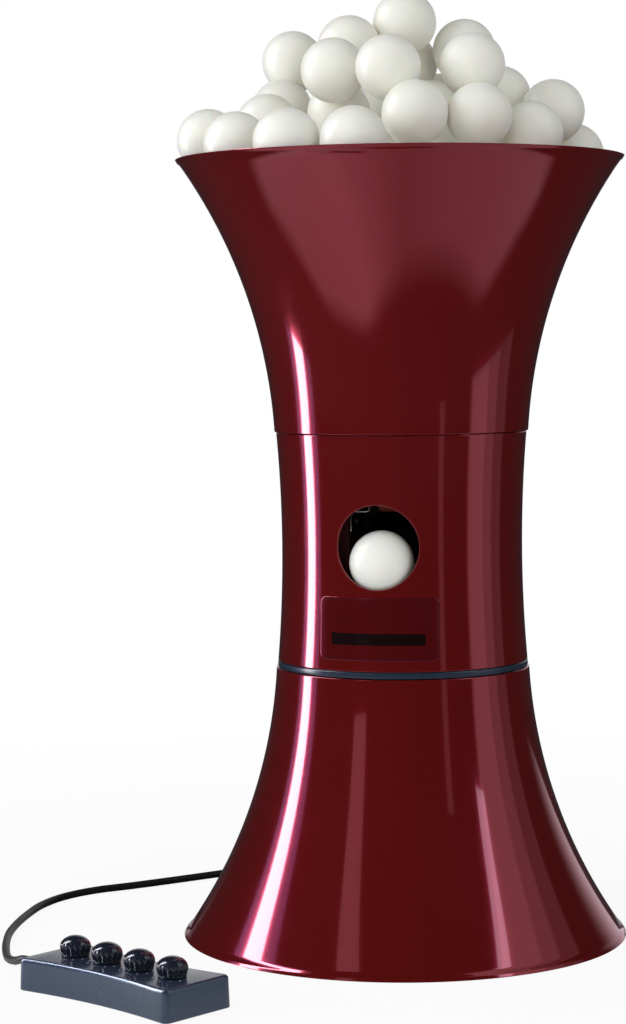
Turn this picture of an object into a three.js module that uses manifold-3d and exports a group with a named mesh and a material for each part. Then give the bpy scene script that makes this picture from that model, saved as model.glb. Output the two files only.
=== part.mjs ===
// Table tennis robot: a flared hopper of balls on a waisted housing that throws them one by one,
// turning on a flared base, with a four-knob remote on a cord.
// Millimetres, +Z up. The ball outlet faces -Y and the origin is on the robot's axis,
// at the level of the surface that it stands on.
import * as THREE from "three";
import { mergeVertices } from "three/addons/utils/BufferGeometryUtils.js";
import Module from "manifold-3d";

const wasm = await Module();
wasm.setup();

// The ball and the clearances
const ballDiameter = 40;
const seatGap = 0.3; // between pieces that touch
const runGap = 0.4; // between a shaft and the hole that it turns in
const bedGap = 0.5; // between the heap of balls and the hopper's wall
const ballGap = 0.1; // between balls that touch in the heap
const overrun = 2; // how far a cutting tool runs past what it cuts

// Outer shells: the base and the hopper are one moulding, the hopper upside down
const wall = 2.5;
const shellHeight = 170.5;
const neckRadius = 79.4; // where the arc of the flare stands upright
const flareRadius = 325;
const flareInset = 18.5; // from the joint to the height where the arc stands upright
const lipHeight = 2.6;
const lipProud = 0.7;
const ringHeight = 4.5; // room for the dark bearing ring between base and housing
const housingHeight = 143.5;
const waistInset = 3.6; // of the housing's waist inside the shells' necks
const waistArcRadius = 838;

// Ball outlet and label panel on the housing
const outletRadius = 25.75;
const outletRise = 75.4; // of the outlet's centre above the housing's lower edge
const labelWidth = 74.5;
const labelHeight = 38.5;
const labelRise = 25.8; // of the label's centre above the housing's lower edge
const labelCorner = 4;
const labelRecess = 0.8;
const labelProud = 0.25;

// Base: floor plate, deck, bearing ring and pan drive
const basePlateThickness = 3;
const turretFloorThickness = 3;
const deckThickness = 3;
const deckDrop = 12.5; // of the deck's top below the joint
const bearingRingInset = 0.9; // of the ring's rim inside the base's upper edge
const bearingRingWidth = 13;
const pivotRadius = 6;
const pivotFlange = 9.5;
const pivotFlangeThickness = 4.5;
const pivotStand = 8; // of the pivot above the turret floor
const gearModule = 1.25;
const pinionTeeth = 15;
const sectorTeeth = 60; // a full circle's count
const sectorTeethCut = 13; // teeth that the sector really has
const gearThickness = 7;
const gearClearance = 3; // between the deck and the gears
const gearHubRadius = 14;
const backlash = 0.25;
const panMotorRadius = 18;
const panMotorHeight = 32;
const motorShaftRadius = 3;
const motorShaftEngagement = 4.5;
const boardLength = 70;
const boardWidth = 50;
const boardThickness = 1.6;
const boardStand = 6;
const boardPostRadius = 3;
const boardPostInset = 6;
const chipSize = 18;
const chipHeight = 3;
const capacitorRadius = 6;
const capacitorHeight = 16;

// Sockets at the back of the base
const inletOffset = 32;
const inletRadius = 6;
const inletBore = 3.3;
const inletDepth = 10;
const inletProud = 3;
const inletFlange = 8.5;
const inletFlangeThickness = 4;
const glandRadius = 5.2;
const glandTipRadius = 3.6;
const glandFlange = 9;
const glandFlangeThickness = 4;
const glandLength = 25; // outside the base, tapering

// Throwing head
const wheelSetbackShare = 0.566; // of the head plates' reach to the front
const wheelRadius = 25;
const wheelWidth = 12.5;
const ballSqueeze = 2;
const treadThickness = 7.7;
const treadEdge = 1.2;
const wheelShaftRadius = 2.5;
const wheelShaftEngagement = 4;
const wheelMotorInset = 6.5; // from a wheel motor's side to the flange in front of it
const wheelMotorRoom = 5.8; // from a wheel motor's end to the housing
const wheelMotorBoss = 2;
const headPlateThickness = 2.5;
const channelWidth = 44;
const headPlateRoom = 9.68; // from the head plates' front corners to the housing
const plateSetback = 20; // of the head plates' back edges behind the wheels' axes
const headPlateFlange = 13.5;
const headPlateTopGap = 3.5; // below the housing's upper edge
const throatMargin = 4; // of the throat plate round its hole

// Sheet metal guide at the upper left of the channel
const guideThickness = 1.2;
const guideShelf = 13;
const guideLeg = 12;
const guideLip = 13;
const guideLength = 18;
const guideRise = 20.2; // of the shelf above the line of throw
const screwHeadRadius = 2.6;
const screwHeadHeight = 1.2;
const screwSetback = 15; // of the screw behind the plate's front edge
const screwDrop = 6.5; // of the screw below the shelf

// Feed: floor plate, disc with pockets, motor and ball tube
const floorRise = 33.5; // of the feed floor's top above the housing's upper edge
const floorThickness = 3;
const pocketClearance = 1; // round a ball in its pocket
const discThickness = 15.5;
const discInset = 7.4; // of the disc's rim inside the hopper's neck
const discRim = 5; // outside the pockets
const pocketWeb = 2; // least left between pockets
const feedMotorRoom = 3.7; // from the feed motor to the ball tube
const feedMotorHeight = 26.5;
const capRoom = 5; // from the cap to the pockets
const capHeight = 16;
const tubeBoreClearance = 2; // round a ball in the tube
const tubeWall = 2.3;
const tubeStraight = 2; // of the tube's end before the throat plate

// Remote
const remoteLength = 123.8;
const remoteWidth = 53.8;
const remoteHeight = 18.8;
const remoteCorner = 4.5;
const remoteEdge = 2.2;
const remoteWall = 2;
const remotePlace = [-122.6, -204.7];
const remoteTurnDegrees = -28.9;
const knobCount = 4;
const knobSpacingShare = 0.21729; // of the case's length
const knobRadius = 9.2;
const knobHeight = 11.6;
const knobSkirt = 1.4; // height of the plain skirt
const knobGrip = 4.8; // height of the fluted grip
const fluteCount = 16;
const fluteDepth = 0.7;
const potShaftRadius = 3;
const potShaftStand = 7.5; // above the case
const potSize = 15;
const potHeight = 6.6;
const remoteBoardInset = 4; // from the case's inner wall
const remotePostRadius = 3;
const reliefRadius = 4;
const reliefTipRadius = 3;
const reliefFlange = 5.5;
const reliefFlangeThickness = 2.7;
const reliefLength = 18;

// Cord
const cordDiameter = 5;
const cordStand = 0.1; // between the cord and the surface that it lies on
const cordSides = 8;
const cordStep = 14;
const coilMeanDiameter = 55;
const coilLayers = 4;
const coilTurnsPerLayer = 3.5625;
const coilPitch = 5.6;
const reversalShare = 0.5; // of a turn, in which the spiral reverses and drops a layer
const coilGapToBase = 42; // from the base's rim to the coil's centre, along Y
const loopSteps = 20;
const loopSides = 6;
const tieThickness = 0.8;
const tieWidth = 4;
const tieRoom = 0.4;
const tieAngleDegrees = 200;
const reliefLeadShare = 1.2; // of the cord's diameter, straight before the strain relief

// The cord's free stretch from the coil to the remote, as it lies: x, y and height
const cordRoute = [
  [-50, 219.4, 3.8],
  [-68, 216.5, 3],
  [-92, 206, 2.6],
  [-115, 187, 2.6],
  [-138, 162.5, 2.6],
  [-161.2, 136.7, 2.6],
  [-184, 112, 2.6],
  [-208, 87, 2.6],
  [-230.5, 65, 2.6],
  [-244, 41, 2.6],
  [-249.5, 14, 2.6],
  [-249, -14, 2.6],
  [-246.5, -41, 2.6],
  [-242, -68, 2.6],
  [-235, -93, 2.6],
  [-226.5, -117, 2.6],
  [-217.5, -137, 3],
  [-208, -151.5, 5.4],
];

// How finely round shapes are faceted
const roundSteps = 32;
const smallSteps = 16;
const holeSteps = 12;
const postSteps = 8;
const outletSteps = 32;
const knobSteps = 16;
const flareSteps = 5;
const waistSteps = 3;
const flankSteps = 1;
const discSteps = 7;
const tubeSteps = 9;
const tubeSides = 12;
const bendSteps = 6;
const capSteps = 4;
const domeSteps = 3;
const hiddenBallDetail = 0;
const ballDetail = 1;
const outletBallDetail = 2;

// Heights that follow from the sizes above
const ballRadius = ballDiameter / 2;
const ballPitch = ballDiameter + ballGap;
const waistRadius = neckRadius - waistInset;
const baseTop = shellHeight;
const housingBottom = baseTop + ringHeight;
const housingTop = housingBottom + housingHeight;
const housingMiddle = (housingBottom + housingTop) / 2;
const rimTop = housingTop + shellHeight;
const outletHeight = housingBottom + outletRise;
const labelMiddle = housingBottom + labelRise;
const deckTop = baseTop - deckDrop;
const deckBottom = deckTop - deckThickness;
const turretFloorTop = housingBottom + turretFloorThickness;
const floorTop = housingTop + floorRise;
const floorBottom = floorTop - floorThickness;
const gearBottom = deckTop + gearClearance;
const wheelOffset = ballRadius - ballSqueeze / 2 + wheelRadius;
const channelHalf = channelWidth / 2;
const plateOuter = channelHalf + headPlateThickness;
const headPlateFront = frontAt(plateOuter + headPlateFlange) - headPlateRoom;
const headSetback = headPlateFront * wheelSetbackShare; // from the robot's axis to the wheels' axes
const headPlateBack = headSetback - plateSetback;
const wheelMotorRadius = headPlateFront - headPlateThickness - wheelMotorInset - headSetback;
const wheelMotorLength = frontAt(headSetback + wheelMotorRadius) - wheelMotorRoom - plateOuter - seatGap;
const tubeBore = ballRadius + tubeBoreClearance;
const pocketRadius = ballRadius + pocketClearance;
const discRadius = neckRadius - discInset;
const pocketRing = discRadius - discRim - pocketRadius; // from the axis to the pockets' centres
const pocketCount = Math.floor(Math.PI / Math.asin((pocketRadius + pocketWeb / 2) / pocketRing));
const feedMotorRadius = pocketRing - tubeBore - tubeWall - feedMotorRoom;
const capRadius = pocketRing - pocketRadius - capRoom;
const coilWidth = coilPitch * coilTurnsPerLayer;
const coilOuter = (coilMeanDiameter + coilWidth) / 2;
const coilInner = (coilMeanDiameter - coilWidth) / 2;
const coilBottom = tieThickness + tieRoom + cordStand + cordDiameter / 2;
const coilTop = coilBottom + coilPitch * (coilLayers - 1);
const socketHeight = coilTop;

// How far it is to the inside of the housing's waist, square to a distance from the axis
function frontAt(across) {
  return Math.sqrt((waistRadius - wall) ** 2 - across ** 2);
}

// The flare's radius at a distance along the axis from where its arc stands upright;
// depth is how far inside the outer face, square to it.
function flareAt(distance, depth = 0) {
  return neckRadius + flareRadius - Math.sqrt((flareRadius + depth) ** 2 - distance ** 2);
}
function baseRadius(z, depth = 0) {
  return flareAt(baseTop + flareInset - z, depth);
}
function hopperRadius(z, depth = 0) {
  return flareAt(z - housingTop + flareInset, depth);
}
function housingRadius(z, depth = 0) {
  return waistRadius + waistArcRadius
    - Math.sqrt((waistArcRadius + depth) ** 2 - (z - housingMiddle) ** 2);
}
const coilCentre = [-coilOuter, baseRadius(0) + coilGapToBase];

// Evenly spaced values from a to b, both included
function span(a, b, steps) {
  return Array.from({ length: steps + 1 }, (_, i) => a + ((b - a) * i) / steps);
}

// A closed geometry as a solid for cutting and joining
function solidOf(geometry) {
  const bare = geometry.clone();
  bare.deleteAttribute("normal");
  bare.deleteAttribute("uv");
  const merged = mergeVertices(bare, 1e-4);
  const kept = [];
  const index = merged.index.array;
  for (let i = 0; i < index.length; i += 3) {
    const [a, b, c] = [index[i], index[i + 1], index[i + 2]];
    if (a !== b && b !== c && c !== a) kept.push(a, b, c);
  }
  return new wasm.Manifold(
    new wasm.Mesh({
      numProp: 3,
      vertProperties: merged.attributes.position.array,
      triVerts: new Uint32Array(kept),
    }),
  );
}

function geometryOf(solid) {
  const mesh = solid.getMesh();
  const geometry = new THREE.BufferGeometry();
  geometry.setAttribute("position", new THREE.BufferAttribute(new Float32Array(mesh.vertProperties), 3));
  geometry.setIndex(new THREE.BufferAttribute(new Uint32Array(mesh.triVerts), 1));
  return geometry;
}

function cut(geometry, ...tools) {
  return geometryOf(tools.reduce((left, tool) => left.subtract(solidOf(tool)), solidOf(geometry)));
}

function join(geometry, ...others) {
  return geometryOf(others.reduce((sum, other) => sum.add(solidOf(other)), solidOf(geometry)));
}

function meet(geometry, other) {
  return geometryOf(solidOf(geometry).intersect(solidOf(other)));
}

// A round body about Z from its profile of [radius, height] points, which closes by itself
function turned(profile, steps = smallSteps) {
  const points = profile.map(([r, z]) => new THREE.Vector2(r, z));
  if (THREE.ShapeUtils.area(points) < 0) points.reverse();
  points.push(points[0].clone());
  return geometryOf(solidOf(new THREE.LatheGeometry(points, steps).rotateX(Math.PI / 2)));
}

// A disc or a drum about Z
function drum(radius, low, high, steps = smallSteps) {
  return turned([[0, low], [radius, low], [radius, high], [0, high]], steps);
}

// A ring about Z
function ring(inner, outer, low, high, steps = smallSteps) {
  return turned([[inner, low], [outer, low], [outer, high], [inner, high]], steps);
}

// Lays a body made about Z along X or Y
function alongX(geometry) {
  return geometry.rotateY(Math.PI / 2);
}
function alongY(geometry) {
  return geometry.rotateX(-Math.PI / 2);
}

// Copies of a body at the four corners of a rectangle about the origin
function fourCorners(x, y, body) {
  return [[x, y], [-x, y], [-x, -y], [x, -y]].map((corner) => body().translate(...corner, 0));
}

// A block between two opposite corners
function block(low, high) {
  const size = high.map((value, i) => value - low[i]);
  const middle = high.map((value, i) => (value + low[i]) / 2);
  return new THREE.BoxGeometry(...size).translate(...middle);
}

function roundedOutline(width, height, corner) {
  const [x, y] = [width / 2 - corner, height / 2 - corner];
  const shape = new THREE.Shape();
  shape.absarc(x, y, corner, 0, Math.PI / 2);
  shape.absarc(-x, y, corner, Math.PI / 2, Math.PI);
  shape.absarc(-x, -y, corner, Math.PI, 1.5 * Math.PI);
  shape.absarc(x, -y, corner, 1.5 * Math.PI, 2 * Math.PI);
  return shape;
}

function extruded(shape, depth, curveSegments = 4) {
  return new THREE.ExtrudeGeometry(shape, { depth, curveSegments, bevelEnabled: false });
}

function outlineShape(points) {
  return new THREE.Shape(points.map(([x, y]) => new THREE.Vector2(x, y)));
}

function circleShape(radius) {
  return new THREE.Shape().absarc(0, 0, radius, 0, 2 * Math.PI);
}

// A tube of any section along a smooth line through the points
function tubeAlong(points, section, steps, sides) {
  const path = new THREE.CatmullRomCurve3(points.map((p) => new THREE.Vector3(...p)));
  return new THREE.ExtrudeGeometry(section, { steps, extrudePath: path, curveSegments: sides / 2 });
}

// Finishes of the real object
const finishes = {
  gloss_red: { color: 0x6d1019, roughness: 0.16, metalness: 0.05 },
  dark_ring: { color: 0x1b222b, roughness: 0.25, metalness: 0.1 },
  label_red: { color: 0x5c0e16, roughness: 0.3, metalness: 0 },
  dark_frame: { color: 0x2a0c10, roughness: 0.4, metalness: 0.1 },
  black_plastic: { color: 0x17191c, roughness: 0.42, metalness: 0 },
  remote_black: { color: 0x1b1f27, roughness: 0.36, metalness: 0 },
  knob_black: { color: 0x121317, roughness: 0.22, metalness: 0 },
  tread: { color: 0x4a1c17, roughness: 0.85, metalness: 0 },
  steel: { color: 0xb9bcc0, roughness: 0.3, metalness: 1 },
  motor_steel: { color: 0x8d9095, roughness: 0.35, metalness: 0.9 },
  nylon: { color: 0xd8d5cb, roughness: 0.5, metalness: 0 },
  circuit: { color: 0x1d4a32, roughness: 0.5, metalness: 0 },
  ball_white: { color: 0xf3efe6, roughness: 0.35, metalness: 0 },
  cord_black: { color: 0x121316, roughness: 0.5, metalness: 0 },
};

const robot = new THREE.Group();
const base = new THREE.Group();
const turret = new THREE.Group();
const remote = new THREE.Group();
remote.position.set(...remotePlace, 0);
remote.rotation.z = THREE.MathUtils.degToRad(remoteTurnDegrees);
robot.add(base, turret, remote);

function add(parent, name, geometry, finish) {
  const mesh = new THREE.Mesh(geometry, new THREE.MeshStandardMaterial(finishes[finish]));
  mesh.name = name;
  parent.add(mesh);
  return mesh;
}

// The flared moulding, its rim at height 0 and its joint edge at shellHeight
function flaredShell() {
  const outer = span(lipHeight, shellHeight, flareSteps).map((z) => [baseRadius(z), z]);
  const inner = span(shellHeight, 0, flareSteps).map((z) => [baseRadius(z, wall), z]);
  const lip = [[baseRadius(0) + lipProud, 0], [baseRadius(0) + lipProud, lipHeight]];
  return turned([...lip, ...outer, ...inner], roundSteps);
}

// Base
const glandAxis = new THREE.Vector2(0, socketHeight);
const inletAxis = new THREE.Vector2(inletOffset, socketHeight);

// A round tool or body along +Y from one y to another
function pegY(radius, from, to, axis, steps = smallSteps) {
  return alongY(drum(radius, from, to, steps)).translate(axis.x, 0, axis.y);
}

// The largest y at which a flange of this radius still clears the inside of the base wall
function flangeSeat(axis, radius) {
  const inside = baseRadius(axis.y + radius, wall) - seatGap;
  return Math.sqrt(inside ** 2 - (Math.abs(axis.x) + radius) ** 2);
}

function addBase() {
  const outside = baseRadius(0) + overrun;
  const inside = baseRadius(baseTop);
  const shell = cut(
    flaredShell(),
    pegY(glandRadius + seatGap, inside, outside, glandAxis),
    pegY(inletRadius + seatGap, inside, outside, inletAxis),
  );
  add(base, "base_shell", shell, "gloss_red");

  const plateTop = basePlateThickness;
  const [postX, postY] = [boardLength / 2 - boardPostInset, boardWidth / 2 - boardPostInset];
  const posts = fourCorners(postX, postY, () => drum(boardPostRadius, 0, plateTop + boardStand, postSteps));
  const plate = turned([
    [0, 0],
    [baseRadius(0, wall) - seatGap, 0],
    [baseRadius(plateTop, wall) - seatGap, plateTop],
    [0, plateTop],
  ], roundSteps);
  add(base, "base_plate", join(plate, ...posts), "black_plastic");

  const boardLow = plateTop + boardStand + seatGap;
  const boardHigh = boardLow + boardThickness;
  const board = join(
    block([-boardLength / 2, -boardWidth / 2, boardLow], [boardLength / 2, boardWidth / 2, boardHigh]),
    block([-chipSize / 2, -chipSize / 2, boardLow], [chipSize / 2, chipSize / 2, boardHigh + chipHeight]),
    drum(capacitorRadius, boardLow, boardHigh + capacitorHeight, holeSteps).translate(boardLength / 4, 0, 0),
  );
  add(base, "control_board", board, "circuit");

  const deckRadius = baseRadius(deckTop, wall) - seatGap;
  const deck = cut(
    drum(deckRadius, deckBottom, deckTop, roundSteps),
    drum(pivotRadius + seatGap, deckBottom - overrun, deckTop + overrun),
    drum(motorShaftRadius + runGap, deckBottom - overrun, deckTop + overrun)
      .translate(0, pinionDistance, 0),
  );
  add(base, "base_deck", deck, "black_plastic");

  const ringOuter = baseRadius(baseTop) - bearingRingInset;
  const ringInner = ringOuter - bearingRingWidth;
  const bearing = ring(ringInner, ringOuter, baseTop + seatGap, housingBottom - seatGap, roundSteps);
  add(base, "bearing_ring", bearing, "dark_ring");

  const pivotLow = deckBottom - seatGap - pivotFlangeThickness;
  add(base, "pan_pivot", turned([
    [0, pivotLow],
    [pivotFlange, pivotLow],
    [pivotFlange, deckBottom - seatGap],
    [pivotRadius, deckBottom - seatGap],
    [pivotRadius, turretFloorTop + pivotStand],
    [0, turretFloorTop + pivotStand],
  ]), "steel");

  const motorTop = deckBottom - seatGap;
  const motor = cut(
    drum(panMotorRadius, motorTop - panMotorHeight, motorTop),
    drum(motorShaftRadius + runGap, motorTop - motorShaftEngagement - runGap, motorTop + overrun, holeSteps),
  ).translate(0, pinionDistance, 0);
  add(base, "pan_motor", motor, "motor_steel");
}

// Sockets: a gland for the remote's cord and an inlet for the power lead
function addSockets() {
  const glandSeat = flangeSeat(glandAxis, glandFlange);
  const glandStart = baseRadius(socketHeight);
  const gland = turned([
    [0, glandSeat - glandFlangeThickness],
    [glandFlange, glandSeat - glandFlangeThickness],
    [glandFlange, glandSeat],
    [glandRadius, glandSeat],
    [glandRadius, glandStart + overrun],
    [glandTipRadius, glandStart + glandLength],
    [0, glandStart + glandLength],
  ]);
  add(base, "cord_gland", alongY(gland).translate(glandAxis.x, 0, glandAxis.y), "black_plastic");

  const inletSeat = flangeSeat(inletAxis, inletFlange);
  const inletFace = Math.sqrt(baseRadius(socketHeight) ** 2 - inletOffset ** 2) + inletProud;
  const inlet = turned([
    [0, inletSeat - inletFlangeThickness],
    [inletFlange, inletSeat - inletFlangeThickness],
    [inletFlange, inletSeat],
    [inletRadius, inletSeat],
    [inletRadius, inletFace],
    [inletBore, inletFace],
    [inletBore, inletFace - inletDepth],
    [0, inletFace - inletDepth],
  ]);
  add(base, "power_inlet", alongY(inlet).translate(inletAxis.x, 0, inletAxis.y), "black_plastic");
}

// Pan drive: involute teeth, a little short so that the small pinion isn't undercut
const pressureAngle = THREE.MathUtils.degToRad(20);
const addendumShare = 0.8; // of the module
const dedendumShare = 1.15; // of the module
const pinionDistance = (gearModule * (pinionTeeth + sectorTeeth)) / 2;

// One tooth's outline about angle 0, as [angle, radius] points from one root to the other
function toothOutline(teeth) {
  const pitch = (gearModule * teeth) / 2;
  const baseCircle = pitch * Math.cos(pressureAngle);
  const involute = (r) => {
    const a = Math.acos(Math.min(1, baseCircle / r));
    return Math.tan(a) - a;
  };
  const tip = pitch + gearModule * addendumShare;
  const root = pitch - gearModule * dedendumShare;
  const start = Math.max(root, baseCircle);
  const halfAtPitch = Math.PI / (2 * teeth) - backlash / (2 * pitch);
  const half = (r) => halfAtPitch + involute(pitch) - involute(r);
  const flank = span(start, tip, flankSteps).map((r) => [half(r), r]);
  const rising = [[half(start), root], ...flank];
  return [...rising.map(([a, r]) => [-a, r]), ...rising.reverse()];
}

function toothedPoints(teeth, numbers, facing) {
  const tooth = toothOutline(teeth);
  return numbers.flatMap((n) => tooth.map(([a, r]) => {
    const angle = facing + (2 * Math.PI * n) / teeth + a;
    return [r * Math.cos(angle), r * Math.sin(angle)];
  }));
}

function addPanDrive() {
  const towards = Math.PI / 2; // from the pivot to the pinion, along +Y
  const teeth = Array.from({ length: pinionTeeth }, (_, i) => i);
  const pinion = extruded(outlineShape(toothedPoints(pinionTeeth, teeth, -towards)), gearThickness)
    .translate(0, 0, gearBottom);
  const shaftLow = deckBottom - seatGap - motorShaftEngagement;
  const shaft = drum(motorShaftRadius, shaftLow, gearBottom + gearThickness, holeSteps);
  add(base, "pan_pinion", join(pinion, shaft).translate(0, pinionDistance, 0), "nylon");

  // The sector has a gap between teeth on the line to the pinion.
  const cutTeeth = Array.from({ length: sectorTeethCut + 1 }, (_, i) => i - sectorTeethCut / 2);
  const arc = toothedPoints(sectorTeeth, cutTeeth, towards);
  const web = span(Math.PI, 2 * Math.PI, postSteps)
    .map((a) => [gearHubRadius * Math.cos(a), gearHubRadius * Math.sin(a)]);
  const sector = extruded(outlineShape([...arc, ...web]), gearThickness).translate(0, 0, gearBottom);
  const hub = drum(gearHubRadius, gearBottom, housingBottom - seatGap);
  const bore = drum(pivotRadius + runGap, gearBottom - overrun, housingBottom + overrun);
  add(turret, "pan_gear", cut(join(sector, hub), bore), "nylon");
}

// Housing with its outlet and label, on the turret floor
function housingBand(low, high, inner, outer) {
  const up = span(low, high, waistSteps);
  return turned([
    ...up.map((z) => [housingRadius(z) + outer, z]),
    ...up.reverse().map((z) => [housingRadius(z) + inner, z]),
  ], roundSteps);
}

// A rounded rectangle on the front, as a prism along Y from the outside to the robot's axis
function labelPrism(grow) {
  const outline = roundedOutline(labelWidth + grow, labelHeight + grow, labelCorner + grow / 2);
  return extruded(outline, 2 * waistRadius).rotateX(Math.PI / 2).translate(0, 0, labelMiddle);
}

function addHousing() {
  const steps = span(housingBottom, housingTop, waistSteps);
  const shell = turned([
    ...steps.map((z) => [housingRadius(z), z]),
    ...steps.toReversed().map((z) => [housingRadius(z, wall), z]),
  ], roundSteps);
  const outlet = pegY(outletRadius, -2 * waistRadius, 0, new THREE.Vector2(0, outletHeight), outletSteps);
  const low = labelMiddle - labelHeight / 2 - overrun;
  const high = labelMiddle + labelHeight / 2 + overrun;
  const recess = meet(housingBand(low, high, -labelRecess, overrun), labelPrism(2 * seatGap));
  add(turret, "centre_housing", cut(shell, outlet, recess), "gloss_red");
  const panel = meet(housingBand(low, high, seatGap - labelRecess, labelProud), labelPrism(0));
  add(turret, "label_panel", panel, "label_red");

  const floorRadius = housingRadius(turretFloorTop, wall) - seatGap;
  const turretFloor = ring(pivotRadius + runGap, floorRadius, housingBottom, turretFloorTop, roundSteps);
  add(turret, "turret_floor", turretFloor, "black_plastic");
}

// Head plates: a web beside the ball channel and a flange that faces the outlet.
// side is 1 on the right and -1 on the left; the motor's shaft passes at shaftHeight.
function headPlate(side, shaftHeight) {
  const low = turretFloorTop + seatGap;
  const high = housingTop - headPlateTopGap;
  const plate = extruded(outlineShape([
    [channelHalf, -headPlateFront],
    [plateOuter + headPlateFlange, -headPlateFront],
    [plateOuter + headPlateFlange, headPlateThickness - headPlateFront],
    [plateOuter, headPlateThickness - headPlateFront],
    [plateOuter, -headPlateBack],
    [channelHalf, -headPlateBack],
  ].map(([x, y]) => [side * x, y])), high - low).translate(0, 0, low);
  const holeRadius = wheelShaftRadius + runGap + wheelMotorBoss;
  const hole = alongX(drum(holeRadius, channelHalf - overrun, plateOuter + overrun));
  return cut(plate, hole.scale(side, side, 1).translate(0, -headSetback, shaftHeight));
}

// A wheel's hub with its shaft towards the motor, its tread and its motor
function addWheel(name, side, height) {
  const place = [0, -headSetback, height];
  const hubRadius = wheelRadius - treadThickness - seatGap;
  const half = wheelWidth / 2;
  const motorFace = plateOuter + seatGap;
  const shaftEnd = motorFace + wheelShaftEngagement;
  const hub = turned([
    [0, -half],
    [hubRadius, -half],
    [hubRadius, half],
    [wheelShaftRadius, half],
    [wheelShaftRadius, shaftEnd],
    [0, shaftEnd],
  ]);
  const inner = wheelRadius - treadThickness;
  const tread = turned([
    [inner, -half],
    [wheelRadius - treadEdge, -half],
    [wheelRadius, treadEdge - half],
    [wheelRadius, half - treadEdge],
    [wheelRadius - treadEdge, half],
    [inner, half],
  ]);
  const motor = cut(
    drum(wheelMotorRadius, motorFace, motorFace + wheelMotorLength),
    drum(wheelShaftRadius + runGap, motorFace - overrun, shaftEnd + runGap, holeSteps),
  );
  const lay = (geometry) => alongX(geometry).rotateZ(side > 0 ? 0 : Math.PI).translate(...place);
  add(turret, name + "_wheel_hub", lay(hub), "nylon");
  add(turret, name + "_wheel_tread", lay(tread), "tread");
  add(turret, name + "_motor", lay(motor), "motor_steel");
}

const topWheelHeight = outletHeight + wheelOffset;
const bottomWheelHeight = outletHeight - wheelOffset;

function addHead() {
  add(turret, "head_plate_right", headPlate(1, topWheelHeight), "dark_frame");
  add(turret, "head_plate_left", headPlate(-1, bottomWheelHeight), "dark_frame");
  addWheel("top", 1, topWheelHeight);
  addWheel("bottom", -1, bottomWheelHeight);

  const throatHalf = tubeBore + throatMargin;
  const throatBack = headPlateThickness - headPlateBack + seatGap;
  const throat = cut(
    block(
      [-plateOuter, seatGap - headPlateBack, outletHeight - throatHalf],
      [plateOuter, throatBack, outletHeight + throatHalf],
    ),
    pegY(tubeBore, -headPlateBack - overrun, throatBack + overrun, new THREE.Vector2(0, outletHeight)),
  );
  add(turret, "throat_plate", throat, "dark_frame");

  // The guide is bent from one strip: a leg on the left plate, a shelf, and a lip beside the wheel.
  const x = seatGap - channelHalf;
  const z = outletHeight + guideRise;
  const edge = x + guideShelf;
  const strip = outlineShape([
    [x, z - guideLeg],
    [x + guideThickness, z - guideLeg],
    [x + guideThickness, z],
    [edge - guideThickness, z],
    [edge, z + guideThickness],
    [edge, z + guideLip],
    [edge - guideThickness, z + guideLip],
    [edge - guideThickness, z + 2 * guideThickness],
    [edge - 2 * guideThickness, z + guideThickness],
    [x, z + guideThickness],
  ]);
  const guide = extruded(strip, guideLength).rotateX(Math.PI / 2)
    .translate(0, guideLength - headPlateFront, 0);
  add(turret, "guide_bracket", guide, "steel");
  const screwLow = x + guideThickness + seatGap;
  const screw = alongX(drum(screwHeadRadius, screwLow, screwLow + screwHeadHeight, holeSteps));
  add(turret, "guide_screw", screw.translate(0, screwSetback - headPlateFront, z - screwDrop), "steel");

  // Ball tube: down from the feed floor behind the axis, then forward to the throat plate
  const start = floorBottom - seatGap;
  const bend = span(0, Math.PI / 2, bendSteps);
  const end = throatBack + seatGap;
  const bendRadius = pocketRing - end - tubeStraight;
  const bendY = (a) => end + tubeStraight + bendRadius * Math.cos(a);
  const path = [
    [0, pocketRing, start],
    [0, pocketRing, (start + outletHeight + bendRadius) / 2],
    ...bend.map((a) => [0, bendY(a), outletHeight + bendRadius * (1 - Math.sin(a))]),
    [0, end, outletHeight],
  ];
  const section = circleShape(tubeBore + tubeWall);
  section.holes.push(new THREE.Path().absarc(0, 0, tubeBore, 0, 2 * Math.PI));
  add(turret, "ball_tube", tubeAlong(path, section, tubeSteps, tubeSides), "black_plastic");
}

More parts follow.
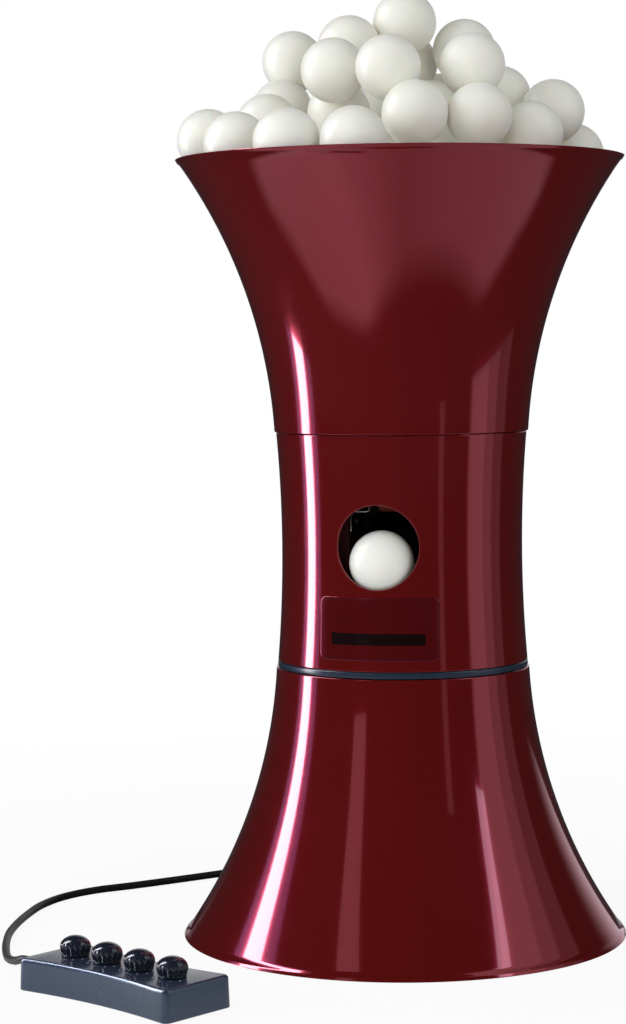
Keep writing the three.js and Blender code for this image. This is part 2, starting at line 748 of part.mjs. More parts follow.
// Hopper with the feed floor, the disc that carries balls to the drop hole, and its motor
function addFeed() {
  const hopper = flaredShell().rotateX(Math.PI).translate(0, 0, rimTop);
  add(turret, "hopper_shell", cut(hopper, block(
    [-2 * neckRadius, -2 * neckRadius, housingTop - overrun],
    [2 * neckRadius, 2 * neckRadius, housingTop + seatGap],
  )), "gloss_red");

  const through = [floorBottom - overrun, floorTop + overrun];
  const dropHole = drum(tubeBore, ...through).translate(0, pocketRing, 0);
  const shaftHole = drum(motorShaftRadius + runGap, ...through, holeSteps);
  const floor = turned([
    [0, floorBottom],
    [hopperRadius(floorBottom, wall) - seatGap, floorBottom],
    [hopperRadius(floorTop, wall) - seatGap, floorTop],
    [0, floorTop],
  ], roundSteps);
  add(turret, "feed_floor", cut(floor, dropHole, shaftHole), "black_plastic");

  const motorTop = floorBottom - seatGap;
  const motor = cut(
    drum(feedMotorRadius, motorTop - feedMotorHeight, motorTop),
    drum(motorShaftRadius + runGap, motorTop - motorShaftEngagement - runGap, motorTop + overrun, holeSteps),
  );
  add(turret, "feed_motor", motor, "motor_steel");

  const discLow = floorTop + seatGap;
  const discHigh = discLow + discThickness;
  const disc = circleShape(discRadius);
  for (let i = 0; i < pocketCount; i += 1) {
    const angle = Math.PI / 2 + (2 * Math.PI * i) / pocketCount;
    const [x, y] = [pocketRing * Math.cos(angle), pocketRing * Math.sin(angle)];
    disc.holes.push(new THREE.Path().absarc(x, y, pocketRadius, 0, 2 * Math.PI));
  }
  disc.holes.push(new THREE.Path().absarc(0, 0, motorShaftRadius + seatGap, 0, 2 * Math.PI));
  const feedDisc = extruded(disc, discThickness, discSteps).translate(0, 0, discLow);
  add(turret, "feed_disc", feedDisc, "black_plastic");

  const shaft = drum(motorShaftRadius, motorTop - motorShaftEngagement, discHigh, holeSteps);
  add(turret, "feed_shaft", shaft, "steel");

  const capLow = discHigh + seatGap;
  const dome = span(0, Math.PI / 2, capSteps)
    .map((a) => [capRadius * Math.cos(a), capLow + capHeight * Math.sin(a)]);
  add(turret, "feed_cap", turned([[0, capLow], ...dome]), "black_plastic");
}

// Balls
const neckShare = 0.12; // of a ball's radius, for the joints between bed balls
const turnTrials = 300;

// The planes of a faceted ball's sides
function sidesOf(geometry) {
  const position = geometry.attributes.position;
  return Array.from({ length: position.count / 3 }, (_, i) => {
    const corners = [0, 1, 2].map((k) => new THREE.Vector3().fromBufferAttribute(position, 3 * i + k));
    return new THREE.Plane().setFromCoplanarPoints(...corners);
  });
}
const ballSides = sidesOf(new THREE.IcosahedronGeometry(ballRadius, ballDetail));

// How far a faceted ball reaches from its centre in a direction
function ballReach(direction) {
  const reaches = ballSides.map((side) => -side.constant / side.normal.dot(direction));
  return Math.min(...reaches.filter((reach) => reach > 0));
}

// Turns a faceted ball so that its corners, not its flats, face the balls that it touches
function ballTurn(contacts) {
  const turns = Array.from({ length: turnTrials }, (_, i) => (
    new THREE.Quaternion().setFromEuler(new THREE.Euler(i, i * Math.SQRT2, i * Math.sqrt(3)))
  ));
  const worst = (turn) => {
    const back = turn.clone().invert();
    return Math.min(...contacts.map((contact) => ballReach(contact.clone().applyQuaternion(back))));
  };
  return turns.map((turn) => [worst(turn), turn]).reduce((a, b) => (b[0] > a[0] ? b : a))[1];
}

function ballGeometry(centre, detail, turn = new THREE.Quaternion()) {
  return new THREE.IcosahedronGeometry(ballRadius, detail).applyQuaternion(turn).translate(...centre);
}

// The ball that waits in the outlet rests on the hole's lower lip and on the bottom wheel.
function outletBallPlace() {
  const lipZ = outletHeight - outletRadius;
  const lip = new THREE.Vector2(-housingRadius(lipZ, wall), lipZ);
  const wheel = new THREE.Vector2(-headSetback, bottomWheelHeight);
  const toLip = ballRadius + seatGap;
  const toWheel = ballRadius + wheelRadius + seatGap;
  const across = lip.clone().sub(wheel);
  const apart = across.length();
  const along = (toWheel ** 2 - toLip ** 2 + apart ** 2) / (2 * apart);
  const up = Math.sqrt(toWheel ** 2 - along ** 2);
  across.divideScalar(apart);
  const y = wheel.x + across.x * along - across.y * up * Math.sign(across.x);
  return [0, y, wheel.y + across.y * along + Math.abs(across.x) * up];
}

// Height at which a ball's centre rests on the hopper's wall at this radius
function restOnWall(radius) {
  const reach = flareRadius + wall + ballRadius + bedGap;
  const square = reach ** 2 - (neckRadius + flareRadius - radius) ** 2;
  return housingTop - flareInset + Math.sqrt(Math.max(0, square));
}

// Height at which a ball let down at x, y rests on the wall or on the balls placed before it
function restHeight(x, y, placed) {
  const heights = placed
    .map(([px, py, pz]) => [ballPitch ** 2 - (x - px) ** 2 - (y - py) ** 2, pz])
    .filter(([square]) => square > 0)
    .map(([square, pz]) => pz + Math.sqrt(square));
  return Math.max(restOnWall(Math.hypot(x, y)), ...heights);
}

// Closed rings of touching balls carry the heap: their counts and where the first ball lies
const heapRings = [[15, 15], [9, 0], [3, 0]]; // balls, degrees

// Where the heap's other balls are let down, in ball diameters from the hopper's axis.
// The first list is carried by the rings and joined to them; the second is the balls that stand out.
const bedPlaceShares = [
  [-3.03, -0.25], [-2.1, -2], [-1.15, -2.65], [-0.1, -2.78], [2.55, 1.25],
  [1.45, 2.35], [0.5, 2.7], [-0.5, 2.7], [-1.45, 2.25], [-2.5, 1.4],
  [0.2, 2.2], [-0.8, 1.95], [0.6, -1.7], [1.5, -1.25], [2.15, -0.45],
];
const heapPlaceShares = [
  [-0.95, -0.05], [-2.05, -0.3], [0.3, 0.95], [2.35, 0.5], [-2.1, 0.85], [1.45, 0.85], [0.1, -1.25],
  [-0.85, -0.85], [-2.05, 1.4], [1.3, -0.7], [-0.15, 1.35], [0.85, 1.05], [-0.8, 0.05], [0, 0.5],
];

function addBalls() {
  const placed = [];
  const hiddenCount = heapRings[0][0];
  for (const [count, degrees] of heapRings) {
    const radius = ballPitch / (2 * Math.sin(Math.PI / count));
    const places = Array.from({ length: count }, (_, i) => {
      const angle = THREE.MathUtils.degToRad(degrees) + (2 * Math.PI * i) / count;
      return [radius * Math.cos(angle), radius * Math.sin(angle)];
    });
    const height = Math.max(...places.map(([x, y]) => restHeight(x, y, placed)));
    placed.push(...places.map(([x, y]) => [x, y, height]));
  }
  const letDown = ([sx, sy]) => {
    const [x, y] = [sx * ballDiameter, sy * ballDiameter];
    placed.push([x, y, restHeight(x, y, placed)]);
  };
  bedPlaceShares.forEach(letDown);
  const bedCount = placed.length;
  heapPlaceShares.forEach(letDown);

  const distance = (a, b) => Math.hypot(a[0] - b[0], a[1] - b[1], a[2] - b[2]);
  const shape = (centre, i) => {
    if (i < hiddenCount) return ballGeometry(centre, hiddenBallDetail);
    const contacts = placed
      .filter((other) => other !== centre && distance(other, centre) < ballPitch + ballGap)
      .map((other) => new THREE.Vector3(...other).sub(new THREE.Vector3(...centre)).normalize());
    return ballGeometry(centre, ballDetail, ballTurn(contacts));
  };

  // Each bed ball is joined to the nearest one before it by a short neck where they touch.
  const jointRadius = ballRadius * neckShare;
  const parts = placed.slice(0, bedCount).flatMap((centre, i) => {
    if (i === 0) return [shape(centre, i)];
    const nearest = placed.slice(0, i)
      .reduce((a, b) => (distance(b, centre) < distance(a, centre) ? b : a));
    const [from, to] = [new THREE.Vector3(...nearest), new THREE.Vector3(...centre)];
    const way = to.clone().sub(from).normalize();
    const turn = new THREE.Quaternion().setFromUnitVectors(new THREE.Vector3(0, 1, 0), way);
    const joint = new THREE.CylinderGeometry(jointRadius, jointRadius, from.distanceTo(to), 3, 1);
    const middle = from.add(to).divideScalar(2);
    return [shape(centre, i), joint.applyQuaternion(turn).translate(...middle)];
  });
  add(turret, "ball_bed", join(...parts), "ball_white");
  placed.slice(bedCount).forEach((centre, i) => {
    add(turret, "ball_" + String(i + 1).padStart(2, "0"), shape(centre, bedCount + i), "ball_white");
  });
  add(turret, "outlet_ball", ballGeometry(outletBallPlace(), outletBallDetail), "ball_white");
}

// Remote: its own frame has X along the case, Z up and the middle of its underside at the origin
const splitHeight = remoteHeight / 2;
const knobSpacing = remoteLength * knobSpacingShare;
const knobPlaces = Array.from({ length: knobCount }, (_, i) => (i - (knobCount - 1) / 2) * knobSpacing);

function caseBody(low, high) {
  const flat = { width: remoteLength - 2 * remoteEdge, depth: remoteWidth - 2 * remoteEdge };
  const outline = roundedOutline(flat.width, flat.depth, remoteCorner - remoteEdge);
  const body = new THREE.ExtrudeGeometry(outline, {
    depth: 2 * remoteHeight,
    curveSegments: 2,
    bevelThickness: remoteEdge,
    bevelSize: remoteEdge,
    bevelSegments: 2,
  }).translate(0, 0, -remoteHeight - remoteEdge);
  return meet(body, block([-remoteLength, -remoteWidth, low], [remoteLength, remoteWidth, high]));
}

function addRemote() {
  const corner = remoteCorner - remoteWall;
  const inner = roundedOutline(remoteLength - 2 * remoteWall, remoteWidth - 2 * remoteWall, corner);
  const cavity = (low, high) => extruded(inner, high - low, 2).translate(0, 0, low);
  const reliefHole = alongX(drum(reliefRadius + seatGap, -remoteLength, overrun - remoteLength / 2))
    .translate(0, 0, splitHeight);

  const boardLow = splitHeight - boardThickness;
  const postX = remoteLength / 2 - remoteWall - 2 * remotePostRadius;
  const postY = remoteWidth / 2 - remoteWall - 2 * remotePostRadius;
  const posts = fourCorners(postX, postY, () => drum(remotePostRadius, 0, boardLow - seatGap, holeSteps));
  const lower = caseBody(0, splitHeight - seatGap / 2);
  const tray = cut(lower, cavity(remoteWall, splitHeight + overrun), reliefHole);
  add(remote, "remote_case_bottom", join(tray, ...posts), "remote_black");

  const shaftHole = (x) => drum(potShaftRadius + runGap, splitHeight, remoteHeight + overrun, postSteps)
    .translate(x, 0, 0);
  const lid = cut(
    caseBody(splitHeight + seatGap / 2, remoteHeight),
    cavity(splitHeight - overrun, remoteHeight - remoteWall),
    reliefHole,
    ...knobPlaces.map(shaftHole),
  );
  add(remote, "remote_case_top", lid, "remote_black");

  const boardX = remoteLength / 2 - remoteWall - remoteBoardInset;
  const boardY = remoteWidth / 2 - remoteWall - remoteBoardInset;
  const potTop = remoteHeight - remoteWall - seatGap;
  const pots = knobPlaces.flatMap((x) => [
    block([x - potSize / 2, -potSize / 2, potTop - potHeight], [x + potSize / 2, potSize / 2, potTop]),
    drum(potShaftRadius, potTop - potHeight / 2, remoteHeight + potShaftStand, postSteps).translate(x, 0, 0),
  ]);
  const board = block([-boardX, -boardY, boardLow], [boardX, boardY, potTop - potHeight + seatGap]);
  add(remote, "remote_board", join(board, ...pots), "circuit");

  const low = remoteHeight + seatGap;
  knobPlaces.forEach((x, i) => add(remote, "knob_" + (i + 1), knob(low).translate(x, 0, 0), "knob_black"));

  const end = remoteLength / 2;
  const relief = turned([
    [0, end - remoteWall - seatGap - reliefFlangeThickness],
    [reliefFlange, end - remoteWall - seatGap - reliefFlangeThickness],
    [reliefFlange, end - remoteWall - seatGap],
    [reliefRadius, end - remoteWall - seatGap],
    [reliefRadius, end + overrun],
    [reliefTipRadius, end + reliefLength],
    [0, end + reliefLength],
  ]);
  const reliefPlaced = alongX(relief).rotateZ(Math.PI).translate(0, 0, splitHeight);
  add(remote, "remote_strain_relief", reliefPlaced, "black_plastic");
}

// A knob: a plain skirt, a fluted grip and a dome, on a blind bore for the shaft
function knob(low) {
  const gripLow = low + knobSkirt;
  const gripHigh = gripLow + knobGrip;
  const top = low + knobHeight;
  const flutes = Array.from({ length: 2 * fluteCount }, (_, i) => {
    const radius = knobRadius - (i % 2 ? fluteDepth : 0);
    const angle = (Math.PI * i) / fluteCount;
    return [radius * Math.cos(angle), radius * Math.sin(angle)];
  });
  const grip = extruded(outlineShape(flutes), gripHigh - gripLow).translate(0, 0, gripLow);
  const domeRadius = knobRadius - fluteDepth;
  const rise = top - gripHigh;
  const dome = span(0, Math.PI / 2, domeSteps)
    .map((a) => [domeRadius * Math.cos(a), gripHigh + rise * Math.sin(a)]);
  const core = turned([
    [0, low],
    [knobRadius, low],
    [knobRadius, gripLow],
    [domeRadius, gripLow],
    ...dome,
  ], knobSteps);
  const bore = drum(potShaftRadius + runGap, low - overrun, remoteHeight + potShaftStand + runGap, postSteps);
  return cut(join(core, grip), bore);
}

// A point of the remote's frame in the robot's frame
function fromRemote(x, y, z) {
  remote.updateMatrixWorld();
  return new THREE.Vector3(x, y, z).applyMatrix4(remote.matrixWorld).toArray();
}

// The coil's centre line after a number of turns: it spirals in and out layer by layer,
// from the top layer down, and drops a layer where the spiral reverses.
const coilTurns = coilTurnsPerLayer * coilLayers;

function coilPoint(turns) {
  const pass = turns / coilTurnsPerLayer;
  const layer = Math.min(Math.floor(pass), coilLayers - 1);
  const inward = layer % 2 ? layer + 1 - pass : pass - layer;
  const radius = coilOuter - coilWidth * inward;
  let z = coilTop;
  for (let reversal = 1; reversal < coilLayers; reversal += 1) {
    const past = (turns - reversal * coilTurnsPerLayer) / reversalShare + 1 / 2;
    z -= coilPitch * Math.min(1, Math.max(0, past));
  }
  const angle = 2 * Math.PI * turns;
  return [coilCentre[0] + radius * Math.cos(angle), coilCentre[1] + radius * Math.sin(angle), z];
}

// Centre line and direction of travel at each ring of the coil, with straight ends a diameter long
function coilLine() {
  const count = Math.round(coilTurns * loopSteps);
  const line = Array.from({ length: count + 1 }, (_, i) => coilPoint((coilTurns * i) / count));
  const end = 2 * Math.PI * coilTurns;
  const tail = line.at(-1);
  return [
    [line[0][0], line[0][1] - cordDiameter, line[0][2]],
    ...line,
    [tail[0] - cordDiameter * Math.sin(end), tail[1] + cordDiameter * Math.cos(end), tail[2]],
  ];
}

// A tube of a few sides round a line of points, closed at both ends
function tubeRound(line, radius, sides) {
  const points = line.map((p) => new THREE.Vector3(...p));
  const up = new THREE.Vector3(0, 0, 1);
  const vertices = [];
  points.forEach((p, i) => {
    const [before, after] = [points[Math.max(i - 1, 0)], points[Math.min(i + 1, points.length - 1)]];
    const ahead = after.clone().sub(before).normalize();
    const side = ahead.clone().cross(up).normalize();
    const over = side.clone().cross(ahead);
    for (let k = 0; k < sides; k += 1) {
      const a = (2 * Math.PI * k) / sides;
      const v = p.clone().addScaledVector(side, radius * Math.cos(a));
      vertices.push(...v.addScaledVector(over, radius * Math.sin(a)));
    }
  });
  const index = [];
  const last = (points.length - 1) * sides;
  for (let k = 1; k < sides - 1; k += 1) {
    index.push(0, k, k + 1, last, last + k + 1, last + k);
  }
  for (let i = 0; i < points.length - 1; i += 1) {
    for (let k = 0; k < sides; k += 1) {
      const a = i * sides + k;
      const b = i * sides + ((k + 1) % sides);
      index.push(a, a + sides, b, b, a + sides, b + sides);
    }
  }
  const geometry = new THREE.BufferGeometry();
  geometry.setAttribute("position", new THREE.Float32BufferAttribute(vertices, 3));
  geometry.setIndex(index);
  return geometry;
}

// The least gap between turns of the coil, measured on points of its centre line
function leastCoilGap() {
  const perTurn = 96;
  const points = Array.from({ length: Math.floor(coilTurns * perTurn) }, (_, i) => coilPoint(i / perTurn));
  let least = Infinity;
  points.forEach((p, i) => {
    for (let j = i + perTurn / 2; j < points.length; j += 1) {
      const q = points[j];
      least = Math.min(least, Math.hypot(p[0] - q[0], p[1] - q[1], p[2] - q[2]));
    }
  });
  return least - cordDiameter;
}

function lineLength(line) {
  const apart = (p, q) => Math.hypot(p[0] - q[0], p[1] - q[1], p[2] - q[2]);
  return line.slice(1).reduce((sum, p, i) => sum + apart(p, line[i]), 0);
}

function addCord() {
  const line = coilLine();
  add(base, "remote_cord_coil", tubeRound(line, cordDiameter / 2, loopSides), "cord_black");

  // From the gland straight to the coil's top layer
  const glandTip = baseRadius(socketHeight) + glandLength;
  const [x, y, z] = line[0];
  const ends = [[x, glandTip + seatGap, z], [x, y - seatGap, z]];
  const section = circleShape(cordDiameter / 2);
  add(base, "remote_cord_lead", tubeAlong(ends, section, 2, cordSides), "cord_black");

  // From the coil's bottom layer over the table to the remote
  const tail = line.at(-1);
  const tip = remoteLength / 2 + reliefLength + seatGap;
  const route = [
    [tail[0] - seatGap, tail[1], tail[2]],
    ...cordRoute,
    fromRemote(-tip - reliefLeadShare * cordDiameter, 0, splitHeight),
    fromRemote(-tip, 0, splitHeight),
  ];
  const steps = Math.round(lineLength(route) / cordStep);
  add(base, "remote_cord", tubeAlong(route, section, steps, cordSides), "cord_black");

  // A band round the coil's turns
  const width = coilWidth + cordDiameter + 2 * tieRoom;
  const height = coilPitch * (coilLayers - 1) + cordDiameter + 2 * tieRoom;
  const band = roundedOutline(width + 2 * tieThickness, height + 2 * tieThickness, 2 * tieThickness);
  band.holes.push(roundedOutline(width, height, tieThickness));
  const tieMiddle = (coilBottom + coilTop) / 2;
  const tie = extruded(band, tieWidth, 2).rotateX(Math.PI / 2)
    .translate(coilMeanDiameter / 2, tieWidth / 2, tieMiddle)
    .rotateZ(THREE.MathUtils.degToRad(tieAngleDegrees)).translate(...coilCentre, 0);
  add(base, "cord_tie", tie, "cord_black");

  const metres = (length) => (length / 1000).toFixed(3) + " m";
  const total = lineLength(line) + lineLength(route) + (y - glandTip);
  console.log("least gap between the coil's turns " + leastCoilGap().toFixed(2) + " mm");
  console.log("cord " + metres(total) + ", of it in the coil " + metres(lineLength(line)));
}

addBase();
addSockets();
addPanDrive();
addHousing();
addHead();
addFeed();
addBalls();
addRemote();
addCord();

export default robot;
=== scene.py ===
"""A table tennis robot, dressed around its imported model: gloss shells, a heap of balls, a wired remote."""

import math

import bmesh
import bpy
import numpy as np
from bpy.props import FloatProperty, FloatVectorProperty, IntProperty, PointerProperty
from mathutils import Matrix, Vector


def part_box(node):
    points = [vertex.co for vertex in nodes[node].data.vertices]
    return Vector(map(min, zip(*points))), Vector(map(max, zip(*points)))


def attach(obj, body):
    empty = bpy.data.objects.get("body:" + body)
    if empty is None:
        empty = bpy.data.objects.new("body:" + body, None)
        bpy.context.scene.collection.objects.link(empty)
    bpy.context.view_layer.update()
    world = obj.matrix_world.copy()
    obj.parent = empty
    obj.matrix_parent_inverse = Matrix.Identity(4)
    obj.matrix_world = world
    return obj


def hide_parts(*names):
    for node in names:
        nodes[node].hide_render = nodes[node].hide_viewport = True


bl_info = {
    "name": "Table tennis robot",
    "version": (1, 0, 0),
    "blender": (4, 5, 0),
    "location": "3D View > Sidebar > Robot",
    "description": "Builds the robot's visible pieces and materials around its packed model",
    "category": "Object",
}

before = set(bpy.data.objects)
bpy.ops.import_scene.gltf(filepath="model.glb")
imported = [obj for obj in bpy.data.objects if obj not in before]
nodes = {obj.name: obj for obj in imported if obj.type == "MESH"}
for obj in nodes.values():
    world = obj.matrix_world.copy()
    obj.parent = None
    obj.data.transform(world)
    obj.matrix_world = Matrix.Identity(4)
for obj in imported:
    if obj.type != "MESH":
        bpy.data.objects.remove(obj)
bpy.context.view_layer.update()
TAU = 2 * math.pi

# Sizes in metres, as in the part's source
WALL = 0.0025
SHELL_HEIGHT = 0.1705
NECK_RADIUS = 0.0794
FLARE_RADIUS = 0.325
FLARE_INSET = 0.0185
LIP_HEIGHT = 0.0026
LIP_PROUD = 0.0007
SEAT_GAP = 0.0003
HOUSING_BOTTOM = 0.175
HOUSING_TOP = 0.3185
RIM_TOP = 0.489
WAIST_RADIUS = 0.0758
WAIST_ARC = 0.838
OUTLET_RADIUS = 0.02575
OUTLET_HEIGHT = 0.2504
LABEL_SIZE = (0.0745, 0.0385)
LABEL_HEIGHT = 0.2008
LABEL_CORNER = 0.004
BALL_RADIUS = 0.02
BALL_PITCH = 0.0401
WHEEL_RADIUS = 0.025
WHEEL_SETBACK = 0.03
WHEEL_OFFSET = 0.044
REMOTE_LENGTH = 0.1238
REMOTE_WIDTH = 0.0538
REMOTE_HEIGHT = 0.0188
REMOTE_CORNER = 0.0045
REMOTE_WAIST = 0.21
REMOTE_EDGE = 0.0022
CASE_DRAFT = 0.0006
KNOB_SPACING = 0.0269
KNOB_RADIUS = 0.0092
KNOB_HEIGHT = 0.0116
KNOB_LOW = 0.0191
CORD_DIAMETER = 0.005
COIL_PITCH = 0.0056
COIL_LAYERS = 4
COIL_TURNS = 3.5625
COIL_MEAN = 0.055
COIL_TOP = 0.0206
GLAND_LENGTH = 0.025
RELIEF_LENGTH = 0.018
INLET_OFFSET = 0.032
LABEL_BAR = (0.0585, 0.0072, 0.0007)
LABEL_BAR_HEIGHT = 0.1948
SCALE_RADIUS = 0.0112
# The coil stops this close to its last whole turn, so its last point still counts to the last layer
COIL_END_SHARE = 0.999999
MERGE_DISTANCE = 2e-6
BALL_GRID = (24, 48)
BALL_MAP = "ball"
HEAP_SEED = 7
SHARP_ANGLE = 35

# The camera that was fitted to the photograph: place in metres, then yaw, pitch and roll in degrees
CAMERA_PLACE = (0.3431, -1.6425, 0.37766)
CAMERA_TURN = (13.7141, 86.2537, -0.5479)
CAMERA_LENS = 93.481

# The pale sheet that only reflections see, a glow painted on the floor as a painted reflection: its turn,
# half its width, and its brightness across
SHEET_TURN = 13.7
SHEET_HALF = 0.8
SHEET_LEVELS = (
    (-0.74, 0), (-0.66, 0.6), (-0.3, 0.78), (-0.15, 0.55), (0, 0.33), (0.25, 0.46), (0.7, 0.56), (0.78, 0),
)
# The slanting notch of painted shade across the painted reflection
SHEET_NOTCH = (-0.29, 1, 0)
FLOOR_HALF = 30
FLOOR_DROP = 0.0002

# Lamps that show only in gloss: name, place, width and height, the power setting, its share and the colour
LAMP_AIM = (0, 0, 0.3)
WHITE, VIOLET, PALE_BLUE, COOL = (1, 1, 1), (0.55, 0.42, 1), (0.65, 0.88, 1), (0.95, 0.98, 1)
GLOSS_LAMPS = (
    ("Tall strip light", (-1.004, -0.158, 0.63), (0.2, 1.46), "key_power", 1, WHITE),
    ("Strip glow light", (-1.01, -0.168, 0.63), (0.46, 1.46), "key_power", 0.16, VIOLET),
    ("Side wide light", (0.767, 0.071, 0.65), (0.7, 1.3), "side_power", 1, WHITE),
    ("Side middle light", (0.77, -0.022, 0.65), (0.486, 1.3), "side_power", 1, WHITE),
    ("Side near light", (0.763, -0.102, 0.65), (0.313, 1.3), "side_power", 0.7, WHITE),
    ("Left line light", (-0.66, -1.4, 0.95), (0.33, 1.4), "line_power", 4.4, WHITE),
    ("Right line light", (1.05, -0.95, 0.26), (0.11, 0.8), "line_power", 0.4, WHITE),
    ("High line light", (1.052, -0.322, 0.76), (0.14, 0.7), "line_power", 5.5, PALE_BLUE),
)
# Lamps that light the surfaces and don't show in gloss
SOFT_LAMPS = (
    ("Left soft light", (-1.3, -0.9, 1.1), (1.0, 1.2), "soft_power", 1, COOL),
    ("Right soft light", (1.5, -1.1, 0.9), (1.0, 1.2), "soft_power", 0.5, COOL),
    ("Front fill", (-0.3, -2.4, 0.9), (1.8, 1.2), "fill_power", 1, COOL),
)

# The cord's free stretch from the coil to the remote
CORD_ROUTE = [
    (-0.050, 0.2194, 0.0038), (-0.068, 0.2165, 0.003), (-0.092, 0.206, 0.0026), (-0.115, 0.187, 0.0026),
    (-0.138, 0.1625, 0.0026), (-0.1612, 0.1367, 0.0026), (-0.184, 0.112, 0.0026), (-0.208, 0.087, 0.0026),
    (-0.2305, 0.065, 0.0026), (-0.244, 0.041, 0.0026), (-0.2495, 0.014, 0.0026), (-0.249, -0.014, 0.0026),
    (-0.2465, -0.041, 0.0026), (-0.242, -0.068, 0.0026), (-0.235, -0.093, 0.0026), (-0.2265, -0.117, 0.0026),
    (-0.2175, -0.137, 0.003), (-0.208, -0.1515, 0.0054),
]
REMOTE_PLACE = Matrix.Translation((-0.1226, -0.2047, 0)) @ Matrix.Rotation(math.radians(-28.9), 4, "Z")


def shade(red, green, blue):
    """A colour written as on a screen, from 0 to 255, as the linear colour that materials use."""
    c = np.array([red, green, blue]) / 255
    return tuple(np.where(c <= 0.04045, c / 12.92, ((c + 0.055) / 1.055) ** 2.4))


# Surfaces


def flare(distance):
    """Radius of the flared shells at a distance along the axis from where their arc stands upright:
    the neck's radius + the arc's - the root of (the arc's squared - the distance squared)."""
    return NECK_RADIUS + FLARE_RADIUS - np.sqrt(FLARE_RADIUS**2 - distance**2)


def base_radius(z):
    """The base's outer radius at a height: an arc that widens downwards, with a lip at the foot."""
    lip = LIP_PROUD * np.clip((LIP_HEIGHT + 0.0003 - z) / 0.0006, 0, 1)
    return flare(SHELL_HEIGHT + FLARE_INSET - z) + lip


def hopper_radius(z):
    """The hopper's outer radius at a height: the base's shape upside down."""
    return base_radius(RIM_TOP - z)


def housing_radius(z):
    """The housing's outer radius at a height: a shallow arc with its waist half way up."""
    middle = (HOUSING_BOTTOM + HOUSING_TOP) / 2
    return WAIST_RADIUS + WAIST_ARC - np.sqrt(WAIST_ARC**2 - (z - middle) ** 2)


def grid_faces(rows, cols, wrap_cols=True, wrap_rows=False):
    """Four-sided faces of a grid of points that are listed row by row."""
    r = np.arange(rows if wrap_rows else rows - 1)[:, None]
    c = np.arange(cols if wrap_cols else cols - 1)[None, :]
    r2, c2 = (r + 1) % rows, (c + 1) % cols
    return np.stack([r * cols + c, r * cols + c2, r2 * cols + c2, r2 * cols + c], -1).reshape(-1, 4)


def capped_faces(rows, cols):
    """The faces of a grid whose rows are closed loops, with one more face over its first row and its last."""
    last = (rows - 1) * cols
    return [*grid_faces(rows, cols).tolist(), list(range(cols)), list(range(last, last + cols))]


def unit(vectors):
    """Each row divided by its own length."""
    return vectors / np.linalg.norm(vectors, axis=1)[:, None]


def combine(parts):
    """Several (points, faces) as one: each part's faces count on from the points before them."""
    faces, start = [], 0
    for points, part in parts:
        plain = isinstance(part, np.ndarray)
        faces += (part + start).tolist() if plain else [(np.array(face) + start).tolist() for face in part]
        start += len(points)
    return np.vstack([points for points, _ in parts]), faces


def rounded(corners, radii, steps=4):
    """An outline with each corner replaced by a curve that starts and ends that far along its sides.

    The curve is the corner plus reach x ((1 - t) squared x the way back + t squared x the way on).
    """
    p = np.array(corners, float)
    reach = np.broadcast_to(np.array(radii, float), len(p))[:, None, None]
    ways = [unit(np.roll(p, shift, 0) - p) for shift in (1, -1)]
    t = np.linspace(0, 1, steps + 1)[None, :, None]
    curve = p[:, None] + reach * ((1 - t) ** 2 * ways[0][:, None] + t**2 * ways[1][:, None])
    return curve.reshape(-1, 2)


def revolved(profile, segments=96):
    """A closed profile of (radius, height) carried round the Z axis."""
    profile = np.array(profile, float)
    a = TAU * np.arange(segments) / segments
    r, z = profile[:, :1], profile[:, 1:]
    points = np.stack([r * np.cos(a), r * np.sin(a), z + 0 * a], -1)
    return points.reshape(-1, 3), grid_faces(len(profile), segments, wrap_rows=True)


def moved(part, matrix):
    """A part's points carried by a 4 by 4 matrix."""
    points, faces = part
    m = np.array(matrix)
    return points @ m[:3, :3].T + m[:3, 3], faces


def along(axis, place=(0, 0, 0)):
    """The matrix that turns Z to an axis and moves the origin to a place."""
    quarter, about = {"x": (1, "Y"), "-x": (-1, "Y"), "y": (-1, "X")}[axis]
    return Matrix.Translation(place) @ Matrix.Rotation(quarter * TAU / 4, 4, about)


def ball_part(centre, rng):
    """A sphere of rows by latitude v and columns by longitude u, turned at random.

    Each point is the radius x (sin v cos u, sin v sin u, cos v).
    """
    rows, cols = BALL_GRID
    v = np.pi * np.linspace(0, 1, rows + 1)[:, None]
    u = TAU * np.arange(cols + 1)[None, :] / cols
    points = np.stack([np.sin(v) * np.cos(u), np.sin(v) * np.sin(u), np.cos(v) + 0 * u], -1).reshape(-1, 3)
    turn = np.linalg.qr(rng.normal(size=(3, 3)))[0]
    points = BALL_RADIUS * points @ (turn * np.linalg.det(turn)).T + centre
    return points, grid_faces(rows + 1, cols + 1, wrap_cols=False)


def tube(path, radius, sides=12):
    """A round section carried along a path that is never upright, closed at both ends.

    Each ring is the path's point plus the radius x (side x cos a + over x sin a), both square to the path.
    """
    way = unit(np.gradient(path, axis=0))
    side = unit(np.cross(way, (0, 0, 1)))
    over = np.cross(side, way)
    a = TAU * np.arange(sides) / sides
    ring = side[:, None] * np.cos(a)[None, :, None] + over[:, None] * np.sin(a)[None, :, None]
    return (path[:, None] + radius * ring).reshape(-1, 3), capped_faces(len(path), sides)


def blend(t, a, b, start, end):
    """The straight mix that is a where t is the start and b where t is the end."""
    return a * (end - t) / (end - start) + b * (t - start) / (end - start)


